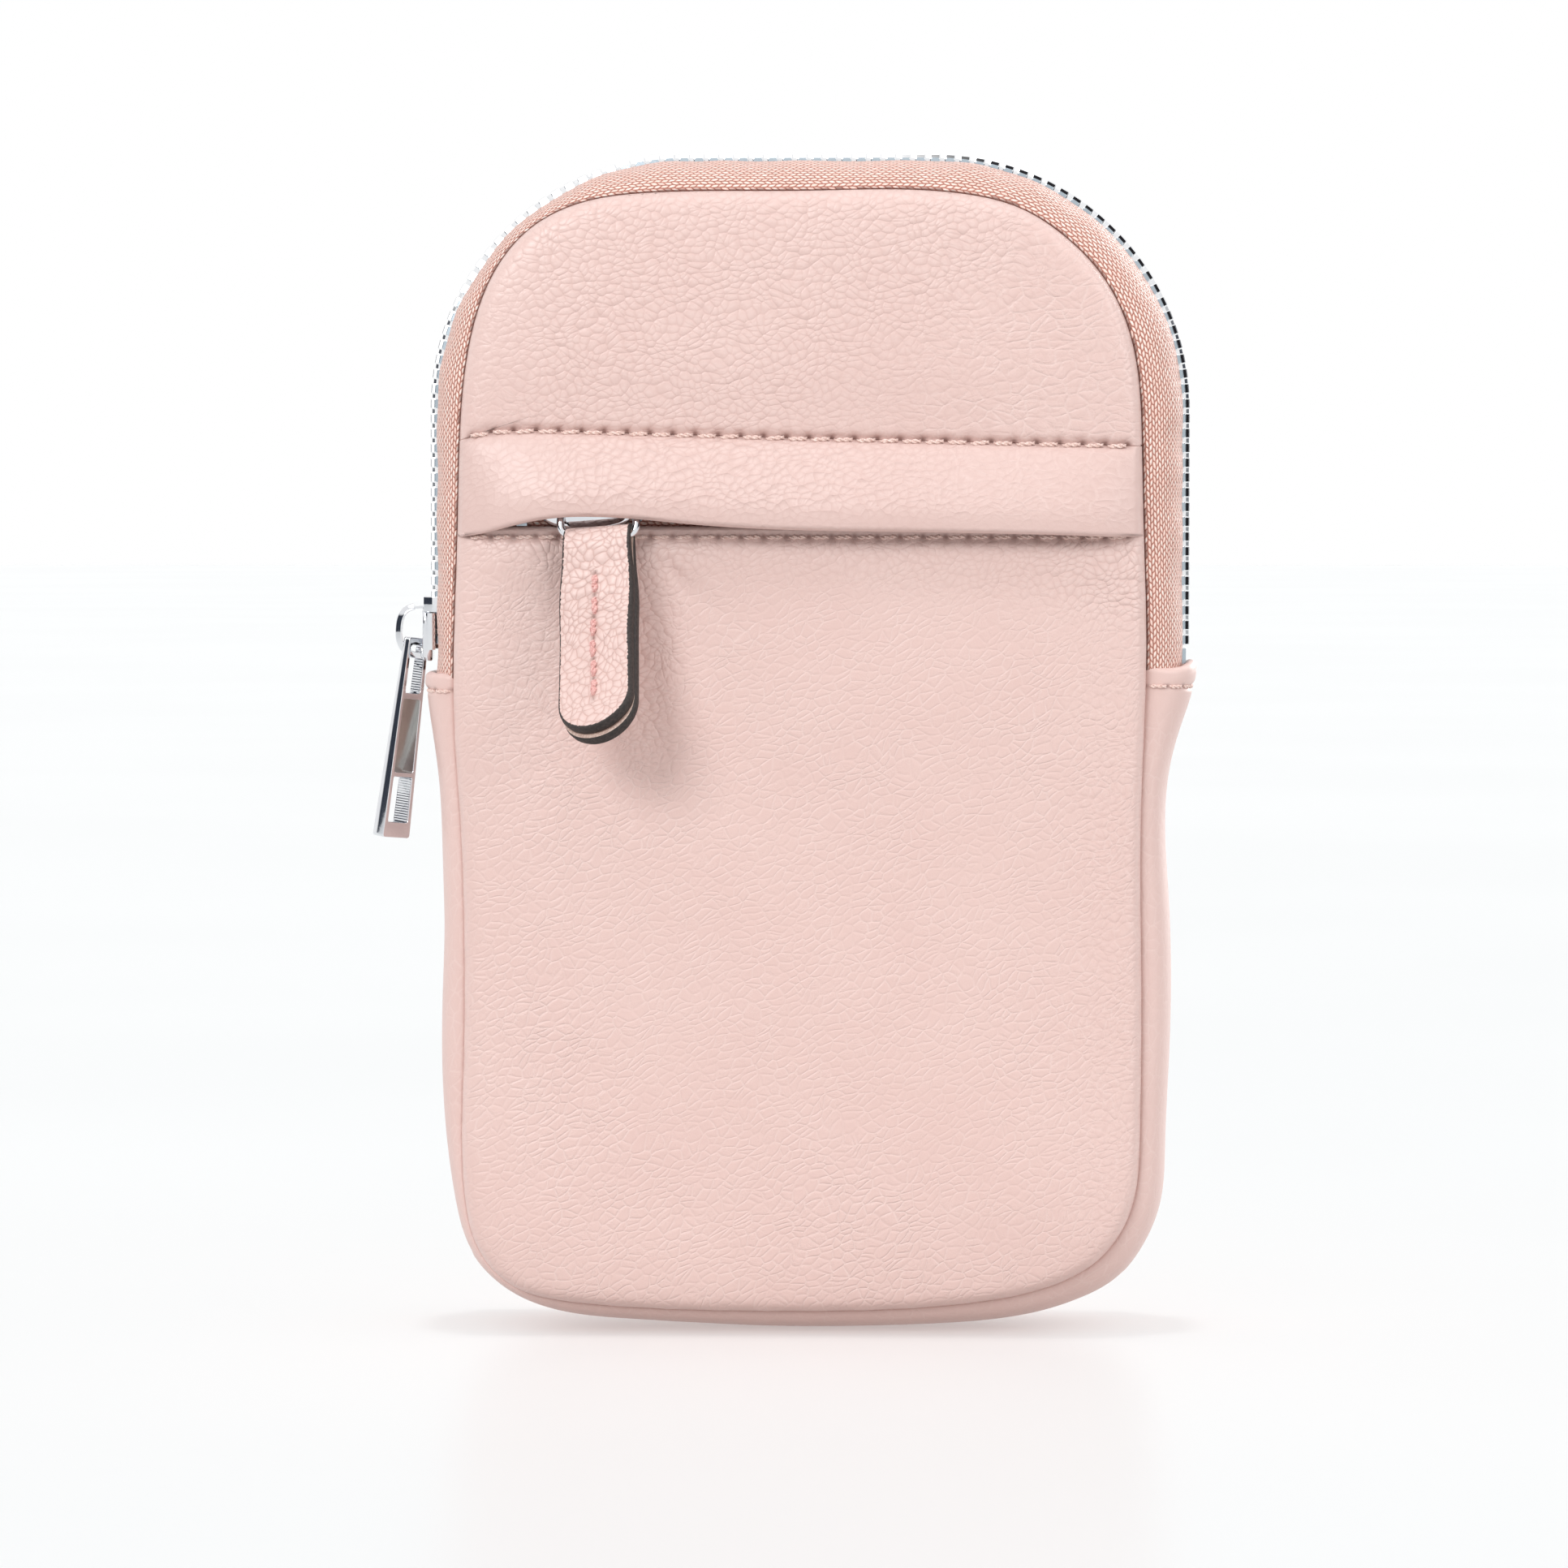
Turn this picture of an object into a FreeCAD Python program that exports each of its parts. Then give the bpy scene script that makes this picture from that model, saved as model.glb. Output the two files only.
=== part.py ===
import FreeCAD, Part
import math
import os

V = FreeCAD.Vector
os.makedirs("parts", exist_ok=True)

# ---------------------------------------------------------------- dimensions (mm)
# Frame: X to the viewer's right, Y away from the viewer, Z up.
# The origin is the centre of the flat base.

# outlines in the XZ plane: half width, bottom, top, bottom radius, top radius
SEAM = (51.5, 4.0, 173.5, 21.0, 30.0)        # where the front and back panels are sewn on
GUSSET_MID = (55.5, 0.0, 178.0, 26.0, 34.0)  # middle of the gusset strip
ZIP_MID = (57.4, 0.0, 178.9, 26.0, 38.0)     # outer face of the zip tapes at the teeth

seam_y = 12.5            # the panels' seams lie at y = -seam_y and +seam_y
gusset_flat_y = 9.0      # the gusset is flat between -y and +y
zip_flat_y = 5.0         # the zip tapes are flat between -y and +y
leather_t = 1.4
tape_t = 0.9
lining_t = 0.4
run_gap = 0.3            # clearance between pieces that move apart

panel_depth = 4.0        # how far the panels are crowned beyond their seam
panel_inset = 5.0
front_rim_y = -seam_y - run_gap
front_y = -seam_y - panel_depth           # outer face of the front panel
front_in_y = front_y + leather_t
back_y = seam_y + panel_depth
back_in_y = back_y - leather_t

flare_z0 = 86.0          # the gusset widens from here up to its hem
hem_z0 = 97.0
hem_z1 = 101.5
hem_half = 58.6
flare_half = 57.6

fold_z = 96.0            # the front bends here when the mouth opens
tape_split_z = 116.04    # below this the front tape stays with the bag
yoke_z = 135.0           # lower edge of the yoke
slot_top_z = 129.7
slot_low_z = 121.5

# main zip
pitch = 2.26
tooth_len = 1.15
teeth_front = 102
teeth_back = 101
zip_run_z0 = 103.0       # where the run of teeth is measured from, on both sides
tape_edge = 1.3
head_edge = 0.85
tooth_reach = 2.7
tooth_out = 0.9
tooth_in = 1.6

# main slider, on the left end of the zip
slider_z0 = 102.3
slider_z1 = 111.8
slider_half = 4.1
bail_out = 6.0
bail_half = 0.8
pull_pivot_n = 3.9
pull_pivot_z = 104.8
pull_len = 29.8
pull_yaw = 68.0
pull_tilt = 7.5

# pocket zip, across the front
pz = 125.5               # height of its centre line
p_tape_y = front_in_y + 0.1
p_tape_t = 0.8
p_half = 45.0
p_pitch = 2.0
p_teeth = 41
p_slider_x = -32.0
p_slider_len = 12.0
p_slider_half = 3.6
eye_y = -18.5
eye_z = 126.6
ring_yaw = 5.0
ring_tilt = 12.0
ring_drop = 4.9
ring_half = 5.8
wire_r = 0.6
tab_yaw = 5.0
tab_tilt = 17.0
tab_len = 32.2
tab_half = 5.8
tab_r = 1.8
tab_hole_r = 1.05
tab_slit = 0.35


# ---------------------------------------------------------------- helpers
def grow(o, d):
    return (o[0] + d, o[1] - d, o[2] + d, o[3] + d, o[4] + d)


def line(a, b):
    return Part.LineSegment(a, b).toShape()


def arc(c, r, a0, a1, y):
    def at(a):
        return V(c[0] + r * math.cos(math.radians(a)), y, c[1] + r * math.sin(math.radians(a)))
    return Part.Arc(at(a0), at((a0 + a1) / 2.0), at(a1)).toShape()


def outline(o, y):
    hw, zb, zt, rb, rt = o
    return Part.Wire([
        line(V(-hw + rb, y, zb), V(hw - rb, y, zb)),
        arc((hw - rb, zb + rb), rb, -90, 0, y),
        line(V(hw, y, zb + rb), V(hw, y, zt - rt)),
        arc((hw - rt, zt - rt), rt, 0, 90, y),
        line(V(hw - rt, y, zt), V(-hw + rt, y, zt)),
        arc((-hw + rt, zt - rt), rt, 90, 180, y),
        line(V(-hw, y, zt - rt), V(-hw, y, zb + rb)),
        arc((-hw + rb, zb + rb), rb, 180, 270, y),
    ])


def slab(o, y0, y1):
    return Part.Face(outline(o, y0)).extrude(V(0, y1 - y0, 0))


def loft(o0, y0, o1, y1):
    return Part.makeLoft([outline(o0, y0), outline(o1, y1)], True, True)


def box(x0, x1, y0, y1, z0, z1):
    return Part.makeBox(x1 - x0, y1 - y0, z1 - z0, V(x0, y0, z0))


def band(z0, z1):
    return box(-90, 90, -60, 60, z0, z1)


def poly(points):
    return Part.Face(Part.makePolygon(list(points) + [points[0]]))


def place(shape, origin, ex, ey, ez):
    m = FreeCAD.Matrix(ex.x, ey.x, ez.x, origin.x,
                       ex.y, ey.y, ez.y, origin.y,
                       ex.z, ey.z, ez.z, origin.z,
                       0, 0, 0, 1)
    out = shape.copy()
    out.Placement = FreeCAD.Placement(m)
    return out


def rod(a, b, r):
    d = b.sub(a)
    return Part.makeCylinder(r, d.Length, a, d)


def fuse(shapes):
    out = shapes[0].multiFuse(shapes[1:]) if len(shapes) > 1 else shapes[0]
    return out.removeSplitter()


made = {}


def keep(name, shape):
    solids = shape.Solids
    shape = solids[0] if len(solids) == 1 else Part.makeCompound(solids)
    made[name] = shape
    shape.exportStep("parts/" + name + ".step")


def mirror_y(shape):
    return shape.mirror(V(0, 0, 0), V(0, 1, 0))


def mirror_x(shape):
    return shape.mirror(V(0, 0, 0), V(1, 0, 0))


# ---------------------------------------------------------------- gusset
outer = fuse([loft(SEAM, -seam_y, GUSSET_MID, -gusset_flat_y),
              slab(GUSSET_MID, -gusset_flat_y, gusset_flat_y),
              loft(GUSSET_MID, gusset_flat_y, SEAM, seam_y)])
si = grow(SEAM, -leather_t)
gi = grow(GUSSET_MID, -leather_t)
inner = fuse([slab(si, -seam_y - 1, -seam_y),
              loft(si, -seam_y, gi, -gusset_flat_y + 0.4),
              slab(gi, -gusset_flat_y + 0.4, gusset_flat_y - 0.4),
              loft(gi, gusset_flat_y - 0.4, si, seam_y),
              slab(si, seam_y, seam_y + 1)])
gusset_low = outer.cut(inner).common(band(-5, flare_z0))


def strip_section(half, half_in, fy, z):
    s, i = SEAM[0], SEAM[0] - leather_t
    pts = [V(s, -seam_y, z), V(half, -fy, z), V(half, fy, z), V(s, seam_y, z),
           V(i, seam_y, z), V(half_in, fy - 0.4, z), V(half_in, -fy + 0.4, z), V(i, -seam_y, z)]
    return Part.makePolygon(pts + [pts[0]])


flare = Part.makeLoft([
    strip_section(GUSSET_MID[0], GUSSET_MID[0] - leather_t, gusset_flat_y, flare_z0),
    strip_section(flare_half, flare_half - leather_t, 7.0, hem_z0)], True, True)
hem = Part.Face(strip_section(hem_half, flare_half - leather_t, 7.0, hem_z0)).extrude(V(0, 0, hem_z1 - hem_z0))
side = fuse([flare, hem])
keep("gusset", fuse([gusset_low, side, mirror_x(side)]))

# ---------------------------------------------------------------- front and back panels
def tray(rim_y, face_y, t):
    s = 1.0 if face_y > rim_y else -1.0
    solid = loft(SEAM, rim_y, grow(SEAM, -panel_inset), face_y)
    hollow = fuse([slab(grow(SEAM, -t - 0.2), rim_y - s, rim_y) if s > 0 else slab(grow(SEAM, -t - 0.2), rim_y, rim_y - s),
                   loft(grow(SEAM, -t - 0.2), rim_y, grow(SEAM, -panel_inset - 1.2), face_y - s * t)])
    return solid.cut(hollow)


front = tray(front_rim_y, front_y, leather_t)
keep("front_yoke", front.common(band(yoke_z, 200)))
keep("front_pocket_panel_upper", front.common(band(fold_z + 0.15, slot_low_z)))
keep("front_pocket_panel_lower", front.common(band(-5, fold_z - 0.15)))
keep("back_panel", tray(seam_y, back_y, leather_t))

# ---------------------------------------------------------------- pocket flap, a folded strip
flap_pts = [(front_in_y, 134.8), (front_y, 134.8), (-19.2, 133.6), (-21.9, 130.4), (-23.2, 126.5), (-23.5, 124.4),
            (-21.8, 124.4), (-21.5, 126.3), (-20.4, 129.5), (-18.4, 132.0), (front_y, 132.9),
            (front_y, slot_top_z), (front_in_y, slot_top_z)]
flap_half = SEAM[0] - panel_inset - 1.3
flap_leaf = poly([V(-flap_half, y, z) for y, z in flap_pts]).extrude(V(2 * flap_half, 0, 0))
# its top is caught under the yoke and its two ends in the side seams
flap_top = front.common(band(slot_top_z, 134.8))
flap_end = front.common(box(flap_half, 60, -30, 0, slot_low_z + 0.15, 134.8))
keep("pocket_flap", fuse([flap_leaf, flap_top, flap_end, mirror_x(flap_end)]))

# ---------------------------------------------------------------- main zip tapes
t_out = fuse([loft(SEAM, -seam_y, ZIP_MID, -zip_flat_y), slab(ZIP_MID, -zip_flat_y, -tape_edge)])
t_in = fuse([slab(grow(SEAM, -tape_t), -seam_y - 1, -seam_y),
             loft(grow(SEAM, -tape_t), -seam_y, grow(ZIP_MID, -tape_t), -zip_flat_y + 0.3),
             slab(grow(ZIP_MID, -tape_t), -zip_flat_y + 0.3, 0)])
tape = t_out.cut(t_in)
keep("front_zip_tape", tape.common(band(tape_split_z + 0.15, 200)))
keep("front_zip_tape_ends", tape.common(band(hem_z1, tape_split_z - 0.15)))
keep("back_zip_tape", mirror_y(tape.common(band(hem_z1, 200))))

# ---------------------------------------------------------------- main zip teeth
hw, _, zt, _, rt = ZIP_MID
run_side = zt - rt - zip_run_z0
run_arc = rt * math.pi / 2
run_top = 2 * (hw - rt)
run_all = 2 * run_side + 2 * run_arc + run_top


def on_run(s):
    """Point, outward normal and tangent on the outer face of the tape, s from the left hem."""
    if s < run_side:
        return V(-hw, 0, zip_run_z0 + s), V(-1, 0, 0), V(0, 0, 1)
    s -= run_side
    if s < run_arc:
        a = math.pi - s / rt
        n = V(math.cos(a), 0, math.sin(a))
        return V(-hw + rt, 0, zt - rt).add(n * rt), n, V(n.z, 0, -n.x)
    s -= run_arc
    if s < run_top:
        return V(-hw + rt + s, 0, zt), V(0, 0, 1), V(1, 0, 0)
    s -= run_top
    if s < run_arc:
        a = math.pi / 2 - s / rt
        n = V(math.cos(a), 0, math.sin(a))
        return V(hw - rt, 0, zt - rt).add(n * rt), n, V(n.z, 0, -n.x)
    s -= run_arc
    return V(hw, 0, zt - rt - s), V(1, 0, 0), V(0, 0, -1)


def clamp_tooth(p, n, t, across, length):
    """A tooth bent round the tape's edge; across points from the centre line to the tape."""
    prof = [(tooth_out, tooth_reach), (tooth_out, head_edge), (-tooth_in, head_edge), (-tooth_in, tooth_reach),
            (-tape_t - 0.03, tooth_reach), (-tape_t - 0.03, tape_edge - 0.02), (0.03, tape_edge - 0.02), (0.03, tooth_reach)]
    pts = [p.add(n * a).add(across * b).sub(t * (length / 2)) for a, b in prof]
    return poly(pts).extrude(t * length)


front_ends, front_rest, back_row = [], [], []
for k in range(teeth_front):
    p, n, t = on_run(run_all / 2 + (k - (teeth_front - 1) / 2.0) * pitch)
    tooth = clamp_tooth(p, n, t, V(0, -1, 0), tooth_len)
    (front_ends if p.z < tape_split_z else front_rest).append(tooth)
for k in range(teeth_back):
    p, n, t = on_run(run_all / 2 + (k - (teeth_back - 1) / 2.0) * pitch)
    back_row.append(clamp_tooth(p, n, t, V(0, 1, 0), tooth_len))
keep("front_zip_teeth", Part.makeCompound(front_rest))
keep("front_zip_teeth_ends", Part.makeCompound(front_ends))
keep("back_zip_teeth", Part.makeCompound(back_row))

# the stop that joins both tapes at the closed (right) end
stop = fuse([box(hw + 0.03, hw + tooth_out, -tooth_reach, tooth_reach, 101.9, 104.2),
             box(hw - tooth_in, hw - tape_t - 0.03, -tooth_reach, tooth_reach, 101.9, 104.2),
             box(hw - tooth_in, hw + tooth_out, -1.25, 1.25, 101.9, 104.2)])
keep("main_zip_bottom_stop", stop)

# ---------------------------------------------------------------- main slider
def plate(n0, n1, z0, z1, half, r):
    """A plate of the slider with rounded ends, n measured outward from the tape's face."""
    y0, y1 = -half, half
    def q(c, a0, a1):
        def at(a):
            return V(-hw - n0, c[0] + r * math.cos(math.radians(a)), c[1] + r * math.sin(math.radians(a)))
        return Part.Arc(at(a0), at((a0 + a1) / 2.0), at(a1)).toShape()
    x = -hw - n0
    w = Part.Wire([line(V(x, y0 + r, z0), V(x, y1 - r, z0)), q((y1 - r, z0 + r), -90, 0),
                   line(V(x, y1, z0 + r), V(x, y1, z1 - r)), q((y1 - r, z1 - r), 0, 90),
                   line(V(x, y1 - r, z1), V(x, y0 + r, z1)), q((y0 + r, z1 - r), 90, 180),
                   line(V(x, y0, z1 - r), V(x, y0, z0 + r)), q((y0 + r, z0 + r), 180, 270)])
    return Part.Face(w).extrude(V(-(n1 - n0), 0, 0))


def lip(n0, n1, y0, y1):
    return box(-hw - n1, -hw - n0, y0, y1, slider_z0 + 1.6, slider_z1 - 1.6)


slider = fuse([plate(1.2, 2.2, slider_z0, slider_z1, slider_half, 1.6),
               plate(-2.8, -1.8, slider_z0, slider_z1, slider_half, 1.6),
               lip(0.3, 1.2, 3.1, slider_half), lip(0.3, 1.2, -slider_half, -3.1),
               lip(-1.8, -1.2, 3.1, slider_half), lip(-1.8, -1.2, -slider_half, -3.1),
               box(-hw - 1.2, -hw + 1.8, -0.5, 0.5, slider_z0, slider_z0 + 2.2)])
keep("main_slider_body", slider)

# bail: a loop crimped on the slider's outer plate
def bail_face(n1, z0, z1, r):
    x0, x1 = -hw - 2.2, -hw - n1
    return Part.Face(Part.Wire([
        line(V(x0, -bail_half, z0), V(x1 + r, -bail_half, z0)),
        arc((x1 + r, z0 + r), r, 270, 180, -bail_half),
        line(V(x1, -bail_half, z0 + r), V(x1, -bail_half, z1 - r)),
        arc((x1 + r, z1 - r), r, 180, 90, -bail_half),
        line(V(x1 + r, -bail_half, z1), V(x0, -bail_half, z1)),
        line(V(x0, -bail_half, z1), V(x0, -bail_half, z0))]))


bail = bail_face(bail_out, 102.6, 110.4, 2.3).extrude(V(0, 2 * bail_half, 0)).cut(
    bail_face(bail_out - 0.9, 103.5, 109.5, 1.5).extrude(V(0, 2 * bail_half, 0)))
keep("main_slider_bail", bail)

# metal pull: local u across its width, v down its length, w through its thickness
a = math.radians(pull_yaw)
eu = V(math.cos(a), math.sin(a), 0)
face_n = V(math.sin(a), -math.cos(a), 0)
tl = math.radians(pull_tilt)
ev = V(0, 0, -1) * math.cos(tl) - face_n * math.sin(tl)
ew = eu.cross(ev)
pivot = V(-hw - pull_pivot_n, 0, pull_pivot_z)
bar_r = 0.65
body_uv = poly([V(-2.15, 0, -3), V(2.15, 0, -3), V(2.3, 9, -3), V(3.3, pull_len - 1.2, -3),
                V(2.6, pull_len - 0.3, -3), V(1.6, pull_len, -3), V(-1.6, pull_len, -3),
                V(-2.6, pull_len - 0.3, -3), V(-3.3, pull_len - 1.2, -3), V(-2.3, 9, -3)]).extrude(V(0, 0, 6))
wedge = poly([V(-5, 0, -bar_r), V(-5, 0, bar_r), V(-5, pull_len, 1.4), V(-5, pull_len, -1.4)]).extrude(V(10, 0, 0))
pull = body_uv.common(wedge)
pull = fuse([pull, rod(V(-2.15, 0, 0), V(2.15, 0, 0), bar_r)])
pull = pull.cut(box(-1.5, 1.5, bar_r, 8.2, -3, 3))
pull = fuse([pull, rod(V(-2.15, 0, 0), V(2.15, 0, 0), bar_r)])
pull = pull.cut(box(-1.75, 1.75, 20.6, 27.4, -3, 3))
sunk = poly([V(-1.8, 9.2, 0.75), V(-1.8, 9.2, 3), V(-1.8, 19.6, 3), V(-1.8, 19.6, 1.0)]).extrude(V(3.6, 0, 0))
pull = pull.cut(sunk).cut(sunk.mirror(V(0, 0, 0), V(0, 0, 1)))
keep("main_pull", place(pull, pivot, eu, ev, ew))

# ---------------------------------------------------------------- pocket zip
keep("pocket_tape_upper", box(-p_half, p_half, p_tape_y, p_tape_y + p_tape_t, pz + 1.25, 134.6))
keep("pocket_tape_lower", box(-p_half, p_half, p_tape_y, p_tape_y + p_tape_t, 117.0, pz - 1.25))


def pocket_tooth(x, s):
    prof = [(-0.8, 2.4), (-0.8, 0.8), (1.5, 0.8), (1.5, 2.4), (p_tape_t + 0.03, 2.4), (p_tape_t + 0.03, 1.23),
            (-0.03, 1.23), (-0.03, 2.4)]
    return poly([V(x - 0.5, p_tape_y + y, pz + s * z) for y, z in prof]).extrude(V(1.0, 0, 0))


keep("pocket_teeth_upper", Part.makeCompound([pocket_tooth((k - (p_teeth - 1) / 2.0) * p_pitch, 1) for k in range(p_teeth)]))
keep("pocket_teeth_lower", Part.makeCompound([pocket_tooth((k - (p_teeth - 2) / 2.0) * p_pitch, -1) for k in range(p_teeth - 1)]))


def pocket_stop(x0, x1, z0, z1):
    return fuse([box(x0, x1, p_tape_y - 0.8, p_tape_y - 0.03, z0, z1),
                 box(x0, x1, p_tape_y + p_tape_t + 0.03, p_tape_y + 1.5, z0, z1),
                 box(x0, x1, p_tape_y - 0.8, p_tape_y + 1.5, max(z0, pz - 1.2), min(z1, pz + 1.2))])


keep("pocket_zip_stops", Part.makeCompound([
    pocket_stop(-43.6, -42.0, pz + 0.8, pz + 2.4), pocket_stop(-43.6, -42.0, pz - 2.4, pz - 0.8),
    pocket_stop(42.0, 44.0, pz - 2.4, pz + 2.4)]))

# pocket slider with its eye
px0, px1 = p_slider_x - p_slider_len / 2, p_slider_x + p_slider_len / 2


def p_plate(y0, y1, r):
    z0, z1 = pz - p_slider_half, pz + p_slider_half
    w = Part.Wire([line(V(px0 + r, y0, z0), V(px1 - r, y0, z0)), arc((px1 - r, z0 + r), r, -90, 0, y0),
                   line(V(px1, y0, z0 + r), V(px1, y0, z1 - r)), arc((px1 - r, z1 - r), r, 0, 90, y0),
                   line(V(px1 - r, y0, z1), V(px0 + r, y0, z1)), arc((px0 + r, z1 - r), r, 90, 180, y0),
                   line(V(px0, y0, z1 - r), V(px0, y0, z0 + r)), arc((px0 + r, z0 + r), r, 180, 270, y0)])
    return Part.Face(w).extrude(V(0, y1 - y0, 0))


def p_lip(y0, y1, s):
    z0, z1 = sorted((pz + s * 2.8, pz + s * p_slider_half))
    return box(px0 + 1.6, px1 - 1.6, y0, y1, z0, z1)


plate_out = p_tape_y - 2.0
ry = math.radians(ring_yaw)
ra = V(math.cos(ry), -math.sin(ry), 0)
ro = V(-math.sin(ry), -math.cos(ry), 0)
eye = V(p_slider_x, eye_y, eye_z)
eye_loop = fuse([rod(eye.sub(ra * 0.9), eye.add(ra * 0.9), 1.5),
                 box(p_slider_x - 0.9, p_slider_x + 0.9, eye_y, plate_out + 0.2, eye_z - 1.5, eye_z + 1.5)])
eye_hole = rod(eye.sub(ra * 3), eye.add(ra * 3), wire_r + 0.3)
p_slider = fuse([p_plate(plate_out, plate_out + 0.9, 1.8), p_plate(p_tape_y + 1.8, p_tape_y + 2.7, 1.8),
                 p_lip(p_tape_y - 1.1, p_tape_y - 0.3, 1), p_lip(p_tape_y - 1.1, p_tape_y - 0.3, -1),
                 p_lip(p_tape_y + 1.1, p_tape_y + 1.8, 1), p_lip(p_tape_y + 1.1, p_tape_y + 1.8, -1),
                 box(px0, px0 + 2.2, p_tape_y - 1.1, p_tape_y + 1.8, pz - 0.5, pz + 0.5),
                 eye_loop]).cut(eye_hole)
keep("pocket_slider_body", p_slider)

# wire ring through the eye
rt_ = math.radians(ring_tilt)
rd = V(0, 0, -1) * math.cos(rt_) + ro * math.sin(rt_)
cr = 1.5


def ring_at(u, v):
    return eye.add(ra * u).add(rd * v)


def bend(cu, cv, a0):
    def at(deg):
        r = math.radians(deg)
        return ring_at(cu + cr * math.cos(r), cv + cr * math.sin(r))
    return Part.Arc(at(a0), at(a0 + 45), at(a0 + 90)).toShape()


path = Part.Wire([
    line(ring_at(0, 0), ring_at(ring_half - cr, 0)), bend(ring_half - cr, cr, -90),
    line(ring_at(ring_half, cr), ring_at(ring_half, ring_drop - cr)), bend(ring_half - cr, ring_drop - cr, 0),
    line(ring_at(ring_half - cr, ring_drop), ring_at(-ring_half + cr, ring_drop)), bend(-ring_half + cr, ring_drop - cr, 90),
    line(ring_at(-ring_half, ring_drop - cr), ring_at(-ring_half, cr)), bend(-ring_half + cr, cr, 180),
    line(ring_at(-ring_half + cr, 0), ring_at(0, 0))])
circle = Part.Wire([Part.Circle(eye, ra, wire_r).toShape()])
keep("pocket_pull_ring", path.makePipeShell([circle], True, False))

# ---------------------------------------------------------------- leather pull tab, folded round the ring
ty = math.radians(tab_yaw)
tu = V(math.cos(ty), -math.sin(ty), 0)
to = V(-math.sin(ty), -math.cos(ty), 0)
tt = math.radians(tab_tilt)
tv = V(0, 0, -1) * math.cos(tt) + to * math.sin(tt)
tw = tu.cross(tv)
tab_at = ring_at(0, ring_drop)
fold = fuse([rod(V(-8, 0, 0), V(8, 0, 0), tab_r), box(-8, 8, 0, tab_len, -tab_r, tab_r)])
fold = fold.cut(rod(V(-9, 0, 0), V(9, 0, 0), tab_hole_r)).cut(box(-9, 9, 0.5, tab_len + 1, -tab_slit, tab_slit))
bottom_r = tab_half
tab_wire = Part.Wire([
    line(V(-4.8, -3, -4), V(4.8, -3, -4)), line(V(4.8, -3, -4), V(5.0, 1.5, -4)), line(V(5.0, 1.5, -4), V(tab_half, 5.5, -4)),
    line(V(tab_half, 5.5, -4), V(tab_half, tab_len - bottom_r, -4)),
    Part.Arc(V(tab_half, tab_len - bottom_r, -4), V(0, tab_len, -4), V(-tab_half, tab_len - bottom_r, -4)).toShape(),
    line(V(-tab_half, tab_len - bottom_r, -4), V(-tab_half, 5.5, -4)),
    line(V(-tab_half, 5.5, -4), V(-5.0, 1.5, -4)), line(V(-5.0, 1.5, -4), V(-4.8, -3, -4))])
tab = fold.common(Part.Face(tab_wire).extrude(V(0, 0, 8)))
keep("pull_tab_leather", place(tab, tab_at, tu, tv, tw))

# thread lies just clear of the leather
out_side = 1.0 if tw.dot(to) > 0 else -1.0
tab_threads = [rod(V(0, 7.0 + k * 3.3, out_side * (tab_r + 0.26)), V(0, 9.5 + k * 3.3, out_side * (tab_r + 0.26)), 0.25) for k in range(6)]
keep("pull_tab_stitches", place(Part.makeCompound(tab_threads), tab_at, tu, tv, tw))

stitch_pitch = 3.45
stitch_n = 26


def row_of_stitches(z, r):
    y = front_y - r - 0.01
    first = -(stitch_n - 1) / 2.0 * stitch_pitch
    return Part.makeCompound([rod(V(first + k * stitch_pitch - 1.35, y, z), V(first + k * stitch_pitch + 1.35, y, z), r)
                              for k in range(stitch_n)])


keep("yoke_topstitch", row_of_stitches(136.4, 0.3))
keep("pocket_topstitch", row_of_stitches(120.3, 0.25))
hem_threads = []
for sx in (-1, 1):
    for k in range(4):
        y = (k - 1.5) * stitch_pitch
        x = sx * (hem_half + 0.31)
        hem_threads.append(rod(V(x, y - 1.35, 98.2), V(x, y + 1.35, 98.2), 0.3))
keep("hem_stitches", Part.makeCompound(hem_threads))

# ---------------------------------------------------------------- inside
bag_y = -10.6
bag_sheet = slab(grow(SEAM, -2.5), bag_y, bag_y + lining_t)
keep("pocket_bag_upper", bag_sheet.common(band(fold_z + 0.15, 133.5)))
keep("pocket_bag_lower", bag_sheet.common(band(38.0, fold_z - 0.15)))
front_lining = slab(grow(SEAM, -2.5), -10.0, -10.0 + lining_t)
keep("front_lining_upper", front_lining.common(band(fold_z + 0.15, 200)))
keep("front_lining_lower", front_lining.common(band(-5, fold_z - 0.15)))
keep("back_lining", slab(grow(SEAM, -2.5), 10.6, 10.6 + lining_t))
gl = slab(grow(GUSSET_MID, -1.6), -8.3, 8.3).cut(slab(grow(GUSSET_MID, -2.0), -9.0, 9.0)).common(band(-5, 96.0))
keep("gusset_lining", gl)
keep("back_interlining", slab(grow(SEAM, -7.0), back_in_y - 1.2, back_in_y - 0.05))

for name in sorted(made):
    s = made[name]
    b = s.BoundBox
    print("%-26s solids %3d valid %s vol %9.2f  x %.1f..%.1f y %.1f..%.1f z %.1f..%.1f" % (
        name, len(s.Solids), s.isValid(), s.Volume, b.XMin, b.XMax, b.YMin, b.YMax, b.ZMin, b.ZMax))
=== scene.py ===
import bpy
import bmesh
import math
import numpy as np
from mathutils import Vector, Matrix


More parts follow.
